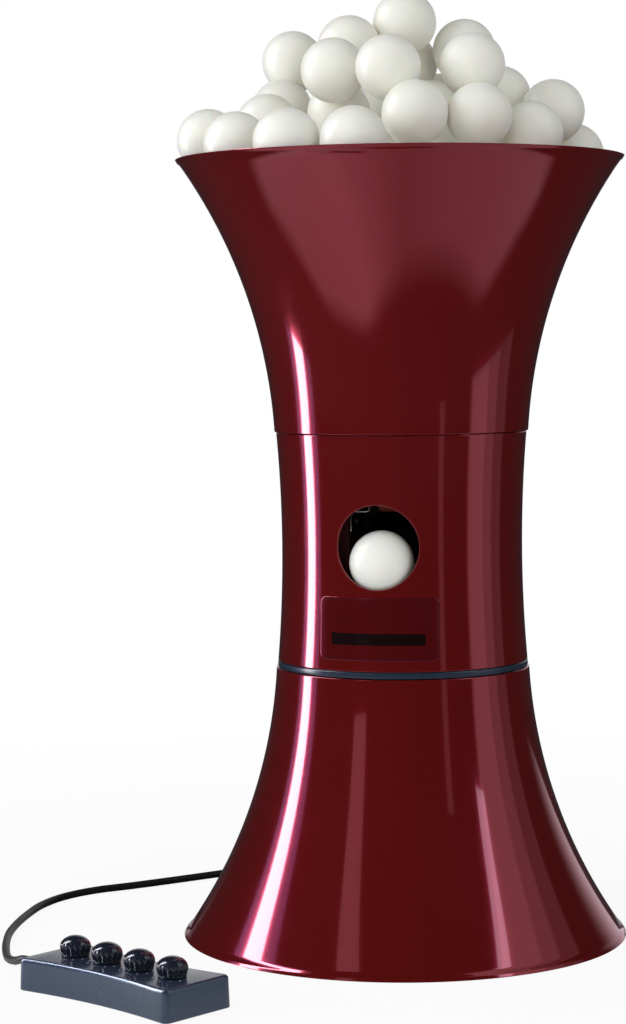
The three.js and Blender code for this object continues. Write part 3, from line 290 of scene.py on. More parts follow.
def smooth_line(points, spacing):
    """A centripetal Catmull-Rom curve through the points, with a point about every spacing.

    Its knots are the running sums of the square roots of the distances, and each stretch blends
    straight lines between knots three times over.
    """
    p = np.array(points, float)
    p = np.vstack([2 * p[0] - p[1], p, 2 * p[-1] - p[-2]])
    knots = np.cumsum(np.concatenate([[0], np.linalg.norm(np.diff(p, axis=0), axis=1) ** 0.5]))
    pieces = []
    for i in range(1, len(p) - 2):
        k, q = knots[i - 1 : i + 3], p[i - 1 : i + 3]
        count = max(2, round(float(np.linalg.norm(q[2] - q[1])) / spacing))
        t = np.linspace(k[1], k[2], count, endpoint=False)[:, None]
        a1, a2, a3 = (blend(t, q[j], q[j + 1], k[j], k[j + 1]) for j in range(3))
        first, second = blend(t, a1, a2, k[0], k[2]), blend(t, a2, a3, k[1], k[3])
        pieces.append(blend(t, first, second, k[1], k[2]))
    return np.vstack([*pieces, p[-2:-1]])


def ribs(start, length, wide, loss, first, pitch, count, groove):
    """Points (radius, height) of grooves along a sleeve that narrows evenly by a loss over its length.

    A groove is (drop, step) pairs: the radius wide - loss x share of the length - drop, at the height + step.
    """
    heights = start + first + pitch * np.arange(count)
    return [(wide - loss * (a - start) / length - drop, a + step) for a in heights for drop, step in groove]


def rounded_loop(width, height, corner, steps=6, between=0):
    """Points of a rounded rectangle, anticlockwise: a quarter circle at each corner, even points between."""
    a = np.linspace(0, TAU / 4, steps + 1) + TAU / 4 * np.arange(4)[:, None]
    middle = np.array([(1, 1), (-1, 1), (-1, -1), (1, -1)]) * (width / 2 - corner, height / 2 - corner)
    arcs = middle[:, None] + corner * np.stack([np.cos(a), np.sin(a)], -1)
    t = np.linspace(0, 1, between + 2)[1:-1, None]
    sides = arcs[:, -1:] * (1 - t) + np.roll(arcs, -1, 0)[:, :1] * t
    return np.concatenate([arcs, sides], 1).reshape(-1, 2)


def rounded_box(width, depth, corner, levels, waist=0, between=0):
    """Rounded rectangles stacked at each (inset, height) of the levels, closed by flat ends.

    Each y is multiplied by 1 - waist x (1 - (2x / width) squared), so a waist draws the long sides inwards.
    """
    loops = [
        rounded_loop(width - 2 * i, depth - 2 * i, max(corner - i, 0.0004), between=between)
        for i, _ in levels
    ]
    points = np.vstack([np.insert(loop, 2, z, axis=1) for loop, (_, z) in zip(loops, levels)])
    points[:, 1] *= 1 - waist * (1 - (2 * points[:, 0] / width) ** 2)
    return points, capped_faces(len(levels), len(loops[0]))


def curved_plate(width, height, corner, middle, levels, hollow=False):
    """A rounded rectangle on the housing's front, built of outlines at each (inset, height over the surface).

    Each y is minus the root of (the housing's radius and that height, squared, - x squared). Unless it is
    hollow, its first and last outlines shrink to a point in steps that follow the curve.
    """
    outlines = [
        (rounded_loop(width - 2 * i, height - 2 * i, max(corner - i, 0.0002), between=30), proud)
        for i, proud in levels
    ]
    if not hollow:
        shares = np.linspace(1, 0.001, 9)[1:]
        first = [(outlines[0][0] * share, outlines[0][1]) for share in shares[::-1]]
        outlines = first + outlines + [(outlines[-1][0] * share, outlines[-1][1]) for share in shares]
    loops = []
    for loop, proud in outlines:
        z = middle + loop[:, 1]
        r = housing_radius(z) + proud
        loops.append(np.stack([loop[:, 0], -np.sqrt(r**2 - loop[:, 0] ** 2), z], -1))
    return np.vstack(loops), grid_faces(len(loops), len(loops[0]), wrap_rows=hollow)


def shell_skin(radius, heights, columns, holes=()):
    """The outer face of a round shell on a grid of height and angle.

    Each hole is (x, z, radius, side, reach): round in x and z, through the front (-1) or back (1), and
    joined to the grid's rectangle around it by a loft whose y is the root of (radius squared - x squared).
    """
    rows = np.array(sorted(heights))
    a = TAU * np.arange(columns) / columns
    r = radius(rows)[:, None]
    grid = np.stack([r * np.cos(a), r * np.sin(a), rows[:, None] + 0 * a], -1).reshape(-1, 3)
    faces = grid_faces(len(rows), columns).reshape(len(rows) - 1, columns, 4)
    keep = np.ones(faces.shape[:2], bool)
    parts, start, lofts = [grid], len(grid), []
    for x0, z0, hole, side, reach in holes:
        size = float(radius(np.array(z0)))
        bounds = np.sort([np.arccos((x0 + s * reach) / size) * side % TAU for s in (-1, 1)])
        j1, j2 = (int(round(b / TAU * columns)) for b in bounds)
        k1, k2 = (int(np.abs(rows - z0 - s * reach).argmin()) for s in (-1, 1))
        keep[k1:k2, j1:j2] = False
        js, ks = np.arange(j1, j2), np.arange(k1, k2)
        low, high = k1 * columns + js, k2 * columns + js[::-1] + 1
        around = np.concatenate([low, ks * columns + j2, high, (ks[::-1] + 1) * columns + j1])
        edge = grid[around]
        turn = np.arctan2(edge[:, 2] - z0, edge[:, 0] - x0)
        s = np.linspace(0, 1, 10)[1:, None]
        x = edge[:, 0] * (1 - s) + (x0 + hole * np.cos(turn)) * s
        z = edge[:, 2] * (1 - s) + (z0 + hole * np.sin(turn)) * s
        parts.append(np.stack([x, side * np.sqrt(radius(z) ** 2 - x**2), z], -1).reshape(-1, 3))
        index = np.vstack([around, start + np.arange(s.size * around.size).reshape(s.size, -1)])
        start += s.size * around.size
        nxt = np.roll(index, -1, 1)
        lofts.append(np.stack([index[:-1], nxt[:-1], nxt[1:], index[1:]], -1).reshape(-1, 4))
    return np.vstack(parts), np.vstack([faces[keep], *lofts])


# Materials

RANGE_SOCKETS = ("From Min", "From Max", "To Min", "To Max")
SURFACE_VALUES = ("Drift", "Roughness", "Handling", "Grain Scale", "Grain Depth", "Cloud Scale", "Wave Depth")
SHELL_NAME = "Crimson gloss moulding"
HAIR = 0.0001

# Moulded and painted finishes: name, colour on a screen (the remote's is a setting), the surface's values in
# the order above, and the shader's own sockets
MOULDED = {
    "ring": ("Dark gloss swivel ring", (34, 46, 64), (0.05, 0.26, 0.05, 900, 0.02),
             {"Coat Weight": 0.15, "Coat Roughness": 0.15}),
    "label": ("Printed label film", (104, 21, 21), (0.04, 0.15, 0.03, 2200, 0.04),
              {"Metallic": 0.5, "Specular IOR Level": 0.5, "Specular Tint": (1.0, 0.2, 0.8, 1),
               "Coat Weight": 0.2, "Coat Roughness": 0.04}),
    "label_line": ("Label outline print", (62, 16, 22), (0.05, 0.18, 0.04), {}),
    "label_bar": ("Label bar print", (22, 9, 11), (0.05, 0.16, 0.04), {"Specular IOR Level": 0.3}),
    "remote": ("Remote case moulding", None, (0.08, 0.26, 0.05, 1400, 0.05),
               {"Specular IOR Level": 1.0, "Specular Tint": (0.6, 0.8, 1.0, 1),
                "Coat Weight": 0.5, "Coat Roughness": 0.06}),
    "knob": ("Knob gloss moulding", (26, 31, 44), (0.06, 0.2, 0.04, 1800, 0.05),
             {"Coat Weight": 0.6, "Coat Roughness": 0.08}),
    "print": ("White scale print", (214, 216, 220), (0.05, 0.45, 0.05), {}),
    "inner": ("Black inner moulding", (30, 31, 34), (0.1, 0.45, 0.1, 1100, 0.3), {}),
    "frame": ("Dark painted head plate", (62, 20, 24), (0.12, 0.38, 0.14, 1300, 0.22), {}),
    "tread": ("Throwing wheel rubber", (186, 84, 62), (0.2, 0.72, 0.15, 900, 0.8, 60), {}),
    "nylon": ("Ivory nylon", (214, 210, 198), (0.05, 0.45, 0.08, 900, 0.15), {}),
    "circuit": ("Green board laminate", (28, 78, 50), (0.25, 0.4, 0.1, 260, 0.4, 160), {}),
    "cord": ("Black cord jacket", (20, 21, 24), (0.1, 0.42, 0.12, 900, 0.25), {}),
    "rubber": ("Black strain relief rubber", (24, 25, 28), (0.1, 0.5, 0.12, 1000, 0.35), {}),
}

# Bare metals: name, colour on a screen, roughness, and the noise's stretch along each axis
METALS = {
    "bright": ("Bright bent steel", (212, 208, 202), 0.16, (300, 4000, 300)),
    "steel": ("Turned steel", (188, 190, 194), 0.22, (900, 900, 4000)),
    "motor": ("Plated motor can", (160, 164, 170), 0.28, (2200, 2200, 500)),
}

materials_made = {}


def feed(tree, socket, value):
    """Links an output to a socket, or sets the socket to a plain value."""
    if isinstance(value, bpy.types.NodeSocket):
        tree.links.new(value, socket)
    else:
        socket.default_value = value


def add(tree, kind, inputs=(), **options):
    """A shader node: its options are set first, then its inputs, by name or number, are fed."""
    node = tree.nodes.new("ShaderNode" + kind)
    for key, value in options.items():
        setattr(node, key, value)
    for key, value in dict(inputs).items():
        feed(tree, node.inputs[key], value)
    return node


def graded(tree, value, limits, **options):
    """A value carried from one range to another: limits are from min, from max, to min and to max."""
    node = add(tree, "MapRange", {"Value": value, **dict(zip(RANGE_SOCKETS, limits))}, **options)
    return node.outputs["Result"]


def maths(tree, operation, *values):
    """The result of one operation on up to three values."""
    return add(tree, "Math", dict(enumerate(values)), operation=operation).outputs[0]


def noise(tree, vector, scale, detail, distortion=0):
    """The value of a cloudy noise."""
    inputs = {"Vector": vector, "Scale": scale, "Detail": detail, "Distortion": distortion}
    return add(tree, "TexNoise", inputs).outputs["Fac"]


def bumped(tree, height, strength, distance, normal=None):
    """The normal after a bump, on top of another normal where one is given."""
    inputs = {"Distance": distance, "Strength": strength, "Height": height}
    return add(tree, "Bump", inputs if normal is None else {**inputs, "Normal": normal}).outputs["Normal"]


def new_group(name, given, returned):
    """A node group with inputs (name, kind, default) and outputs (name, kind): the group, what it is given,
    what it puts out, and the place on the object."""
    group = bpy.data.node_groups.new(name, "ShaderNodeTree")
    for label, kind, default in given:
        socket = group.interface.new_socket(name=label, in_out="INPUT", socket_type="NodeSocket" + kind)
        socket.default_value = default
    for label, kind in returned:
        group.interface.new_socket(name=label, in_out="OUTPUT", socket_type="NodeSocket" + kind)
    values, out = group.nodes.new("NodeGroupInput").outputs, group.nodes.new("NodeGroupOutput").inputs
    return group, values, out, add(group, "TexCoord").outputs["Object"]


def moulding_group():
    """Colour that drifts a little, roughness broken up by handling, and a fine grain, for moulded pieces."""
    name = "Moulded surface"
    if name in bpy.data.node_groups:
        return bpy.data.node_groups[name]
    group, given, out, spot = new_group(
        name,
        (("Color", "Color", (0.5, 0.5, 0.5, 1)), ("Drift", "Float", 0.05), ("Roughness", "Float", 0.3),
         ("Handling", "Float", 0.05), ("Grain Scale", "Float", 900), ("Grain Depth", "Float", 0.1),
         ("Cloud Scale", "Float", 14), ("Wave Depth", "Float", 0.0)),
        (("Color", "Color"), ("Roughness", "Float"), ("Normal", "Vector")),
    )
    cloud = noise(group, spot, given["Cloud Scale"], 4)
    gain = maths(group, "MULTIPLY_ADD", maths(group, "SUBTRACT", cloud, 0.5), given["Drift"], 1)
    tint = add(group, "VectorMath", {0: given["Color"], "Scale": gain}, operation="SCALE").outputs[0]
    worn = graded(group, noise(group, spot, 38, 6, 0.6), (0.45, 0.8, 0, 1))
    grain = noise(group, spot, given["Grain Scale"], 3)
    wave = bumped(group, cloud, given["Wave Depth"], 0.001)
    feed(group, out["Color"], tint)
    feed(group, out["Roughness"], maths(group, "MULTIPLY_ADD", worn, given["Handling"], given["Roughness"]))
    feed(group, out["Normal"], bumped(group, grain, given["Grain Depth"], HAIR, wave))
    return group


def brushed_group():
    """Fine scratches along one direction for bright metal: roughness and normal from stretched noise."""
    name = "Brushed metal"
    if name in bpy.data.node_groups:
        return bpy.data.node_groups[name]
    group, given, out, spot = new_group(
        name,
        (("Stretch", "Vector", (1, 1, 1)), ("Roughness", "Float", 0.3), ("Depth", "Float", 0.2)),
        (("Roughness", "Float"), ("Normal", "Vector"), ("Mask", "Float")),
    )
    stretched = add(group, "VectorMath", {0: spot, 1: given["Stretch"]}, operation="MULTIPLY").outputs[0]
    scratch = noise(group, stretched, 1, 5)
    feed(group, out["Roughness"], maths(group, "MULTIPLY_ADD", scratch, 0.25, given["Roughness"]))
    feed(group, out["Normal"], bumped(group, scratch, given["Depth"], HAIR))
    feed(group, out["Mask"], scratch)
    return group


def new_material(name):
    """A material with its node tree and its shader."""
    material = bpy.data.materials.new(name)
    material.use_nodes = True
    return material, material.node_tree, material.node_tree.nodes["Principled BSDF"]


def moulded(name, colour, surface, sockets):
    """A moulded or painted finish. The surface's values go to the shared group, sockets to the shader."""
    material, tree, shader = new_material(name)
    values = {"Color": (*colour, 1), **dict(zip(SURFACE_VALUES, surface))}
    group = add(tree, "Group", values, node_tree=moulding_group())
    for output, socket in (("Color", "Base Color"), ("Roughness", "Roughness"), ("Normal", "Normal")):
        feed(tree, shader.inputs[socket], group.outputs[output])
    for socket, value in sockets.items():
        shader.inputs[socket].default_value = value
    return material


def bright_metal(name, colour, roughness, stretch):
    """A bare metal finish with scratches along one direction."""
    material, tree, shader = new_material(name)
    group = add(tree, "Group", {"Stretch": stretch, "Roughness": roughness}, node_tree=brushed_group())
    dull = (*[0.8 * c for c in colour], 1)
    tone = add(tree, "Mix", {"A": dull, "B": (*colour, 1), "Factor": group.outputs["Mask"]}, data_type="RGBA")
    feed(tree, shader.inputs["Roughness"], group.outputs["Roughness"])
    feed(tree, shader.inputs["Normal"], group.outputs["Normal"])
    feed(tree, shader.inputs["Base Color"], tone.outputs["Result"])
    shader.inputs["Metallic"].default_value = 1
    return material


def shell_material(colour):
    """Crimson gloss with metal flake under a clear coat that grows towards the shell's edges."""
    material = moulded(
        SHELL_NAME, colour, (0.06, 0.11, 0.03, 1500, 0.03, 14, 0.04),
        {"Metallic": 0.5, "Specular IOR Level": 0.8, "Specular Tint": (1.0, 0.2, 0.6, 1),
         "Coat Roughness": 0.04, "Coat IOR": 1.5},
    )
    tree = material.node_tree
    facing = add(tree, "LayerWeight", {"Blend": 0.5}).outputs["Facing"]
    coat = graded(tree, facing, (0.4, 0.9, 0.7, 1.0))
    feed(tree, tree.nodes["Principled BSDF"].inputs["Coat Weight"], coat)
    return material


def ball_material(colour):
    """Matt celluloid: warm, a little translucent, with a seam where the ball's UV map has its middle."""
    material = moulded(
        "Matt celluloid", colour, (0.03, 0.42, 0.1, 2600, 0.12),
        {"Subsurface Weight": 0.45, "Subsurface Scale": 0.012, "Subsurface Radius": (1.0, 0.72, 0.36),
         "Specular IOR Level": 0.42},
    )
    tree = material.node_tree
    shader, group = tree.nodes["Principled BSDF"], tree.nodes["Group"]
    split = add(tree, "SeparateXYZ", {0: add(tree, "UVMap", uv_map=BALL_MAP).outputs["UV"]})
    seam = maths(tree, "COMPARE", split.outputs["Y"], 0.5, 0.006)
    feed(tree, shader.inputs["Normal"], bumped(tree, seam, 0.35, HAIR, group.outputs["Normal"]))
    return material


def settings():
    """The sizes and colours that a user can change."""
    return bpy.context.scene.table_tennis_robot


def all_materials():
    """Every finish of the robot by a short name, made once."""
    if SHELL_NAME in bpy.data.materials:
        return materials_made
    look = settings()
    materials_made["shell"] = shell_material(tuple(look.shell_colour))
    for key, (name, colour, surface, sockets) in MOULDED.items():
        screen = shade(*colour) if colour else tuple(look.remote_colour)
        materials_made[key] = moulded(name, screen, surface, sockets)
    for key, (name, colour, roughness, stretch) in METALS.items():
        materials_made[key] = bright_metal(name, shade(*colour), roughness, stretch)
    materials_made["ball"] = ball_material(tuple(look.ball_colour))
    return materials_made


# Meshes and objects


def values_of(items, name, width=1, kind=float):
    """One value of each item as an array, or one row of values where the width is more than 1."""
    out = np.empty(len(items) * width, kind)
    items.foreach_get(name, out)
    return out.reshape(-1, width) if width > 1 else out


def to_mesh(name, part, seam=None):
    """A mesh of a part, with doubles merged and faces pointing outwards. seam is a UV pair for each point."""
    points, faces = part
    mesh = bpy.data.meshes.new(name)
    mesh.from_pydata(points.tolist(), [], faces.tolist() if isinstance(faces, np.ndarray) else faces)
    if seam is not None:
        layer = mesh.uv_layers.new(name=BALL_MAP)
        pairs = seam[values_of(mesh.loops, "vertex_index", kind=int)]
        layer.data.foreach_set("uv", pairs.astype(np.float32).ravel())
    soft = bmesh.new()
    soft.from_mesh(mesh)
    bmesh.ops.remove_doubles(soft, verts=soft.verts, dist=MERGE_DISTANCE)
    bmesh.ops.recalc_face_normals(soft, faces=soft.faces)
    soft.to_mesh(mesh)
    soft.free()
    return mesh


def place(name, mesh, material, body, slot, replaces=(), sharp=SHARP_ANGLE):
    """An object of a finished mesh that rides on a body and stands for its CAD nodes."""
    mesh.shade_smooth()
    mesh.set_sharp_from_angle(angle=math.radians(sharp))
    mesh.materials.clear()
    mesh.materials.append(all_materials()[material])
    piece = bpy.data.objects.new(name, mesh)
    bpy.context.scene.collection.objects.link(piece)
    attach(piece, body)
    if replaces:
        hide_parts(*replaces)
    return piece


def make(name, part, *rest):
    """The same as place, from a part's points and faces."""
    return place(name, to_mesh(name, part), *rest)


def settle(piece):
    """Turns a piece's modifiers into its mesh."""
    done = bpy.data.meshes.new_from_object(piece.evaluated_get(bpy.context.evaluated_depsgraph_get()))
    piece.modifiers.clear()
    old, piece.data = piece.data, done
    bpy.data.meshes.remove(old)


def soften(piece, width, segments=2, angle=40):
    """Rounds a piece's edges by a bevel."""
    bevel = piece.modifiers.new("Soft edges", "BEVEL")
    bevel.width, bevel.segments = width, segments
    bevel.limit_method, bevel.angle_limit = "ANGLE", math.radians(angle)
    bevel.harden_normals = False
    settle(piece)
    piece.data.shade_smooth()
    piece.data.set_sharp_from_angle(angle=math.radians(SHARP_ANGLE))


def shell(name, skin, radius, replaces, body):
    """A shell of a skin: walled inwards, its edges rounded, and shaded by its surface's exact normals.

    A true normal is (x / r, y / r, - slope of the radius with height), made one long. It takes the place of
    a corner's own where the face lies within about 8 degrees of it.
    """
    mesh = to_mesh(name, skin)
    first = mesh.polygons[0]
    if first.normal.x * first.center.x + first.normal.y * first.center.y < 0:
        mesh.flip_normals()
    piece = place(name, mesh, "shell", body, "gloss_red", replaces)
    wall = piece.modifiers.new("Wall", "SOLIDIFY")
    wall.thickness, wall.offset, wall.use_even_offset = WALL, -1, True
    settle(piece)
    points = values_of(piece.data.vertices, "co", 3)
    points[:, 2] = np.clip(points[:, 2], skin[0][:, 2].min(), skin[0][:, 2].max())
    piece.data.vertices.foreach_set("co", points.ravel())
    soften(piece, 0.0005, 3, 55)

    mesh, step = piece.data, 2e-5
    p = values_of(mesh.vertices, "co", 3)[values_of(mesh.loops, "vertex_index", kind=int)]
    corner = values_of(mesh.corner_normals, "vector", 3)
    sides = values_of(mesh.polygons, "loop_total", kind=int)
    face = np.repeat(values_of(mesh.polygons, "normal", 3), sides, 0)
    z, reach = p[:, 2], np.hypot(p[:, 0], p[:, 1])
    slope = (radius(z + step) - radius(z - step)) / (2 * step)
    true = unit(np.stack([p[:, 0] / reach, p[:, 1] / reach, -slope], -1))
    match = (face * true).sum(1)[:, None]
    mesh.normals_split_custom_set(np.where(np.abs(match) > 0.99, np.sign(match) * true, corner).tolist())


# Settings and pieces


def colour_setting(name, description, default):
    """A colour that a user can change."""
    return FloatVectorProperty(
        name=name, description=description, subtype="COLOR", min=0, max=1, default=default,
    )


def power_setting(name, description, default):
    """A lamp's power that a user can change."""
    return FloatProperty(
        name=name, description=description, subtype="POWER", unit="POWER", min=0, default=default,
    )


class RobotSettings(bpy.types.PropertyGroup):
    """The robot's sizes, colours and lights"""

    shell_colour: colour_setting("Shell colour", "Colour of the three gloss shells", shade(124, 24, 22))
    remote_colour: colour_setting("Remote colour", "Colour of the remote's case", shade(42, 50, 72))
    ball_colour: colour_setting("Ball colour", "Colour of the balls", shade(250, 248, 238))
    floor_colour: colour_setting("Floor colour", "Colour of the studio floor", (0.9, 0.9, 0.9))
    shell_columns: IntProperty(
        name="Shell columns", description="Faces round each shell", min=96, max=480, default=288,
    )
    flutes: IntProperty(
        name="Knob flutes", description="Flutes round each knob's grip", min=12, max=40, default=18,
    )
    cord_diameter: FloatProperty(
        name="Cord diameter", description="Outer diameter of the remote's cord", subtype="DISTANCE",
        unit="LENGTH", min=0.002, max=0.01, default=CORD_DIAMETER,
    )
    key_power: power_setting("Strip light", "Power of the tall narrow light at the left", 15)
    side_power: power_setting("Side light", "Power of the soft light at the right", 0.5)
    line_power: power_setting("Line lights", "Power that the three thin lights take their shares of", 0.2)
    soft_power: power_setting("Left soft light", "Power of the broad light at the left", 15)
    fill_power: power_setting("Fill light", "Power of the broad light in front", 10)


class PieceOperator:
    """What all the operators share"""

    bl_options = {"REGISTER", "UNDO"}


class ROBOT_OT_camera(PieceOperator, bpy.types.Operator):
    """Puts the camera at the photograph's viewpoint"""

    bl_idname = "robot.camera"
    bl_label = "Camera"

    def execute(self, context):
        data = bpy.data.cameras.new("Camera")
        data.lens, data.sensor_width = CAMERA_LENS, 36
        data.clip_start, data.clip_end = 0.05, 100
        camera = bpy.data.objects.new("Camera", data)
        matrix = Matrix.Translation(CAMERA_PLACE)
        for degrees, axis in zip(CAMERA_TURN, "ZXZ"):
            matrix = matrix @ Matrix.Rotation(math.radians(degrees), 4, axis)
        camera.matrix_world = matrix
        context.scene.collection.objects.link(camera)
        context.scene.camera = camera
        return {"FINISHED"}


def coil_centre():
    """The coil's middle on the floor, and the radius of its outermost turn."""
    outer = (COIL_MEAN + COIL_PITCH * COIL_TURNS) / 2
    return np.array([-outer, float(flare(SHELL_HEIGHT + FLARE_INSET)) + 0.042, 0]), outer


def gland_seat():
    """Where the base's wall is at the gland's height."""
    return float(base_radius(np.array(COIL_TOP)))


def cord_path():
    """The cord's centre line: straight from the gland, the coil, then the loose stretch.

    The coil's radius falls and rises by turns with the share of each layer done, and its height drops by a
    pitch over half a turn from one layer to the next.
    """
    centre, outer = coil_centre()
    total = COIL_TURNS * COIL_LAYERS
    turns = np.linspace(0, total * COIL_END_SHARE, round(total * 36) + 1)
    way = turns / COIL_TURNS
    inward = np.where(np.floor(way) % 2, 1 - way % 1, way % 1)
    radius = outer - COIL_PITCH * COIL_TURNS * inward
    drops = [np.clip((turns - k * COIL_TURNS + 0.25) / 0.5, 0, 1) for k in range(1, COIL_LAYERS)]
    z = COIL_TOP - COIL_PITCH * sum(drops)
    coil = centre + np.stack([radius * np.cos(TAU * turns), radius * np.sin(TAU * turns), z], -1)
    start = (0, gland_seat() + GLAND_LENGTH - 0.0008, COIL_TOP)
    lead = np.linspace(start, coil[0] - (0, 0.004, 0), 5)
    tail = coil[-1] + (-CORD_DIAMETER, 0, 0)
    relief = [REMOTE_PLACE @ Matrix.Translation((x, 0, REMOTE_HEIGHT / 2)) for x in (-0.0862, -0.0797)]
    loose = smooth_line([coil[-1], tail, *CORD_ROUTE, *[tuple(m.translation) for m in relief]], 0.004)
    return np.vstack([lead, coil, loose[1:]])


class ROBOT_OT_cord(PieceOperator, bpy.types.Operator):
    """Lays the remote's cord with its gland, strain relief and tie"""

    bl_idname = "robot.cord"
    bl_label = "Cord"

    def execute(self, context):
        diameter = settings().cord_diameter
        path = cord_path()
        cable = make("remote_cable", tube(path, diameter / 2), "cord", "base", "cord_black",
                     ["remote_cord_lead", "remote_cord_coil", "remote_cord"])

        inside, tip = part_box("cord_gland")[0].y, gland_seat() + GLAND_LENGTH
        start = gland_seat() + 0.002
        groove = ((0, 0), (0.0006, 0.0007), (0.0006, 0.0016), (0.0001, 0.0023))
        outline = [
            (0, inside), (0.009, inside), (0.009, inside + 0.004), (0.0052, inside + 0.004), (0.0052, start),
            *ribs(start, tip - start, 0.0052, 0.0016, 0.0035, 0.0032, 6, groove),
            (0.0036, tip - 0.0006), (0.0031, tip), (0, tip),
        ]
        sleeve = moved(revolved(outline, 48), along("y", (0, 0, COIL_TOP)))
        gland = make("cord_outlet_boot", sleeve, "rubber", "base", "black_inner", ["cord_gland"], 50)

        end, length = REMOTE_LENGTH / 2, RELIEF_LENGTH
        seat, tip = end - 0.0023, end + length
        groove = ((0, 0), (0.0005, 0.0006), (0.0005, 0.0014), (0.0001, 0.0019))
        outline = [
            (0, seat - 0.0027), (0.0055, seat - 0.0027), (0.0055, seat), (0.004, seat), (0.004, end + 0.002),
            *ribs(end, length, 0.004, 0.001, 0.0032, 0.0027, 5, groove),
            (0.003, tip - 0.0005), (0.0026, tip), (0, tip),
        ]
        sleeve = moved(revolved(outline, 40), along("-x", (0, 0, REMOTE_HEIGHT / 2)))
        relief = make("remote_cord_boot", moved(sleeve, REMOTE_PLACE), "rubber", "base", "black_inner",
                      ["remote_strain_relief"], 50)

        centre, _ = coil_centre()
        clear = CORD_DIAMETER + 0.0008
        wide = COIL_PITCH * COIL_TURNS + clear
        high = COIL_PITCH * (COIL_LAYERS - 1) + clear
        loops = []
        for grow, y in ((0.0016, -0.0018), (0.0016, 0.0018), (0, 0.002), (0, -0.002)):
            loops.append(np.insert(rounded_loop(wide + grow, high + grow, 0.0016), 1, y, axis=1))
        band = np.vstack(loops), grid_faces(4, len(loops[0]), wrap_rows=True)
        head = rounded_box(0.0052, 0.0056, 0.0012, [(0.0006, 0), (0, 0.0006), (0, 0.0026), (0.0006, 0.0032)])
        head = moved(head, Matrix.Translation((wide / 2 - 0.0045, 0, high / 2 + 0.0003)))
        turn = Matrix.Rotation(math.radians(200), 4, "Z")
        middle = Matrix.Translation((*centre[:2], COIL_TOP - COIL_PITCH * (COIL_LAYERS - 1) / 2))
        tie = moved(combine([band, head]), middle @ turn @ Matrix.Translation((COIL_MEAN / 2, 0, 0)))
        strap = make("coil_strap", tie, "rubber", "base", "cord_black", ["cord_tie"])

        length = float(np.linalg.norm(np.diff(path, axis=0), axis=1).sum())
        return {"FINISHED"}


class ROBOT_OT_shells(PieceOperator, bpy.types.Operator):
    """Builds the base, the housing and the hopper as thin gloss shells"""

    bl_idname = "robot.shells"
    bl_label = "Shells"

    def execute(self, context):
        columns = settings().shell_columns
        edge = np.array([0, 0.0008, 0.0016, LIP_HEIGHT - 0.0003, LIP_HEIGHT + 0.0003])
        heights = np.concatenate([edge, np.arange(0.005, SHELL_HEIGHT - 0.001, 0.0024), [SHELL_HEIGHT]])
        holes = [(0, COIL_TOP, 0.0055, 1, 0.0125), (INLET_OFFSET, COIL_TOP, 0.0063, 1, 0.0125)]
        skin = shell_skin(base_radius, heights, columns, holes)
        shell("base", skin, base_radius, ["base_shell"], "base")

        heights = np.concatenate([RIM_TOP - edge, np.arange(HOUSING_TOP + SEAT_GAP, RIM_TOP - 0.005, 0.0024)])
        skin = shell_skin(hopper_radius, heights, columns)
        shell("hopper", skin, hopper_radius, ["hopper_shell"], "turret")

        heights = np.linspace(HOUSING_BOTTOM, HOUSING_TOP, 61)
        holes = [(0, OUTLET_HEIGHT, OUTLET_RADIUS, -1, 0.034)]
        skin = shell_skin(housing_radius, heights, columns, holes)
        shell("housing", skin, housing_radius, ["centre_housing"], "turret")

        low, high = (v.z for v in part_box("bearing_ring"))
        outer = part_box("bearing_ring")[1].x
        corners = [(outer - 0.013, low), (outer, low), (outer, high), (outer - 0.013, high)]
        ring = revolved(rounded(corners, 0.0008), 256)
        make("swivel_ring", ring, "ring", "base", "ring_blue", ["bearing_ring"])
        return {"FINISHED"}


class ROBOT_OT_label(PieceOperator, bpy.types.Operator):
    """Builds the bare label panel with its outline and its dark bar"""

    bl_idname = "robot.label"
    bl_label = "Label"

    def execute(self, context):
        width, height = LABEL_SIZE
        levels = [(0.0006, 0.00025), (0.0002, 0.0002), (0, 0.00005), (0, -0.0005)]
        plate = curved_plate(width, height, LABEL_CORNER, LABEL_HEIGHT, levels)
        make("label_plate", plate, "label", "turret", "label_red", ["label_panel"])
        levels = [(0.0008, 0.00028), (0.0013, 0.00028), (0.0013, 0.0002), (0.0008, 0.0002)]
        line = curved_plate(width, height, LABEL_CORNER, LABEL_HEIGHT, levels, hollow=True)
        make("label_outline", line, "label_line", "turret", "label_red")
        levels = [(0, 0.00029), (0, 0.0002)]
        bar = curved_plate(*LABEL_BAR, LABEL_BAR_HEIGHT, levels)
        make("label_bar", bar, "label_bar", "turret", "label_red")
        return {"FINISHED"}


